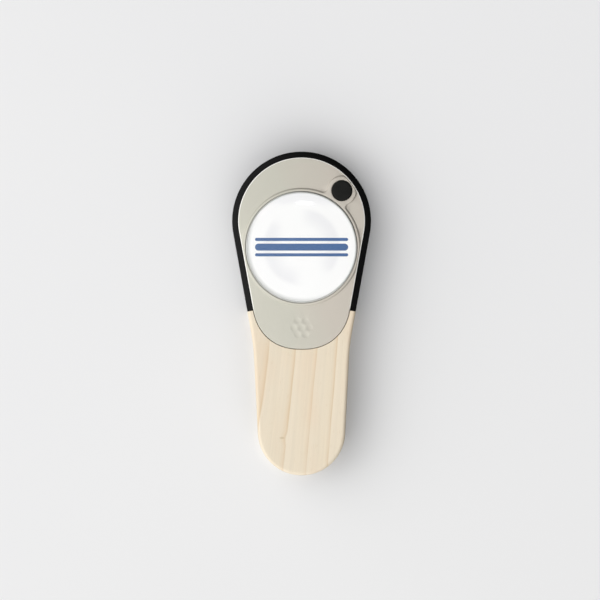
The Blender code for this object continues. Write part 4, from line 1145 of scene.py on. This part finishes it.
def coil_spring():
    """The plunger's spring, with closed ends, on a mesh of its own."""
    outer_r, low_z, high_z = extent("button_spring")
    wire_r = 0.15 * MM
    coil_r = outer_r - wire_r
    turns, end_turns = 4.5, 0.75
    steps, sides = 260, 12
    floor_z, ceiling_z = low_z + wire_r, high_z - wire_r
    end_rise = 0.08
    knees = [0, end_turns, turns - end_turns, turns]
    bm = bmesh.new()
    rings = []
    for i in range(steps + 1):
        turn = turns * i / steps
        rise = np.interp(turn, knees, [0, end_rise, 1 - end_rise, 1])
        angle = tau * turn
        middle = BUTTON + polar(coil_r, angle)
        z = floor_z + (ceiling_z - floor_z) * rise
        ring = []
        for side in range(sides):
            lean = tau * side / sides
            out = polar(wire_r * cos(lean), angle)
            ring.append(bm.verts.new((middle.x + out.x, middle.y + out.y, z + wire_r * sin(lean))))
        rings.append(ring)
    for end in connect(bm, rings):
        bm.faces.new(end)
    spring = piece("plunger_spring", bm, "button_spring")
    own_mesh(spring)


# -------- ball marker


def ball_marker():
    """The marker's coin, printed face and clear dome, and the magnet that holds it."""
    lip = 0.2 * MM
    bevel = 0.04 * MM
    edge_h = 0.15 * MM
    radius, low_z, high_z = extent("marker_label")
    corners = [(radius, low_z, 0.03 * MM), (radius, high_z, 0.03 * MM)]
    turned("marker_print", ORIGIN, corners, "marker_label", steps=DISC_STEPS)
    seat_z = low_z - HAIR
    radius, low_z, high_z = extent("marker_coin")
    corners = [(radius, low_z, 0.2 * MM), (radius, high_z - bevel, 0.03 * MM)]
    corners += [(radius - lip, high_z, 0.02 * MM), (radius - lip, seat_z, FINE)]
    turned("marker_disc", ORIGIN, corners, "marker_coin", steps=DISC_STEPS)
    radius, low_z, high_z = extent("marker_magnet")
    corners = [(radius, low_z, 0.15 * MM), (radius, high_z, 0.15 * MM)]
    turned("seat_magnet", ORIGIN, corners, "marker_magnet")
    radius, low_z, high_z = extent("marker_dome")
    profile = rounded([(0, low_z, 0), (radius, low_z, FINE), (radius, low_z + edge_h, 0)])
    for i in range(DOME_RINGS - 1, -1, -1):
        share = i / DOME_RINGS
        profile.append(Vector((radius * share, high_z - (high_z - low_z - edge_h) * share**2)))
    bm = bmesh.new()
    lathe(bm, ORIGIN, profile, steps=DISC_STEPS)
    piece("marker_resin", bm, "marker_dome")


def hidden_parts():
    """The inner parts whose CAD shape stays, each with its slot's material."""
    for name, slot in SLOTS.items():
        node = frame["nodes"][name]
        if not node.hide_render:
            for material_slot in node.material_slots:
                material_slot.material = LOOKS[slot]


# -------- floor, light and camera


def floor():
    """A pale floor that is seen from above only and doesn't shade the tool."""
    reach = 12
    gap = 0.05 * MM
    bm = bmesh.new()
    bmesh.ops.create_grid(bm, x_segments=1, y_segments=1, size=reach)
    mesh = bpy.data.meshes.new("floor")
    bm.to_mesh(mesh)
    bm.free()
    obj = new_object("floor", mesh)
    obj.location.z = BACK_LOW.z - gap
    for ray in ("diffuse", "glossy", "transmission", "shadow"):
        setattr(obj, f"visible_{ray}", False)
    look = Look("pale_floor")
    base = look.mix(look.noise(0.004, 2).span(0.3, 0.7), colour(231, 231, 232), colour(234, 234, 234))
    paint = look.add("ShaderNodeBsdfDiffuse", {"Color": base})
    below = look.add("ShaderNodeNewGeometry").outputs["Backfacing"]
    clear = look.add("ShaderNodeBsdfTransparent")
    mixed = look.add("ShaderNodeMixShader", {0: below, 1: paint.outputs[0], 2: clear.outputs[0]})
    mesh.materials.append(look.finish_with(mixed))


def soft_light(name, place, target, width, height, watts):
    light = bpy.data.lights.new(name, "AREA")
    light.shape = "RECTANGLE"
    light.size = width
    light.size_y = height
    light.energy = watts
    obj = new_object(name, light)
    obj.location = place
    obj.rotation_mode = "QUATERNION"
    obj.rotation_quaternion = (Vector(target) - Vector(place)).to_track_quat("-Z", "Y")
    obj.visible_camera = False


def studio():
    """A weak key light, a soft strip over the dome, and a world that is brighter on the lower left."""
    soft_light("key", (-0.3, -0.03, 0.3), (0, -0.02, 0), 0.2, 0.2, 0.14)
    soft_light("strip", (0.004, 0.091, 0.46), (0, 0.01, 0), 0.032, 0.006, 0.0036)
    world = bpy.data.worlds.new("studio")
    world.use_nodes = True
    nodes = Nodes(world.node_tree)
    direction = nodes.add("ShaderNodeTexCoord").outputs["Generated"]
    towards = Field(nodes, nodes.vector("DOT_PRODUCT", direction, (-0.82, -0.57, 0)).outputs["Value"])
    above = nodes.split(direction)[2]
    strength = towards.span(-0.4, 0.07, 0.15, 1.58) * above.span(0.0, 0.5, 0.5, 1.0)
    nodes.feed(world.node_tree.nodes["Background"], {"Color": (1, 1, 1, 1), "Strength": strength})
    bpy.context.scene.world = world
    bpy.context.scene.view_settings.view_transform = "Standard"


def camera():
    """Straight above the tool, with a long lens."""
    frame_width = 171.4 * MM
    data = bpy.data.cameras.new("camera")
    data.lens = 100
    data.sensor_width = 36
    data.clip_start = 0.01
    data.clip_end = 30
    obj = new_object("camera", data)
    distance = frame_width * data.lens / data.sensor_width
    obj.location = (-0.45 * MM, -15.1 * MM, Z_FACE + distance)
    bpy.context.scene.camera = obj


face_plate()
back_plate()
front_scale()
rear_scale()
liner("front_liner", "front_frame", Z_BAY_HIGH, 1, LINER_HIGH.z, NECK_HOLE_R)
liner("rear_liner", "rear_frame", Z_BAY_LOW, -1, REAR_LINER_LOW.z, COLLAR_HOLE_R)
bay_spacer()
fasteners()
fork_blade()
button()
ball_marker()
hidden_parts()
floor()
studio()
camera()
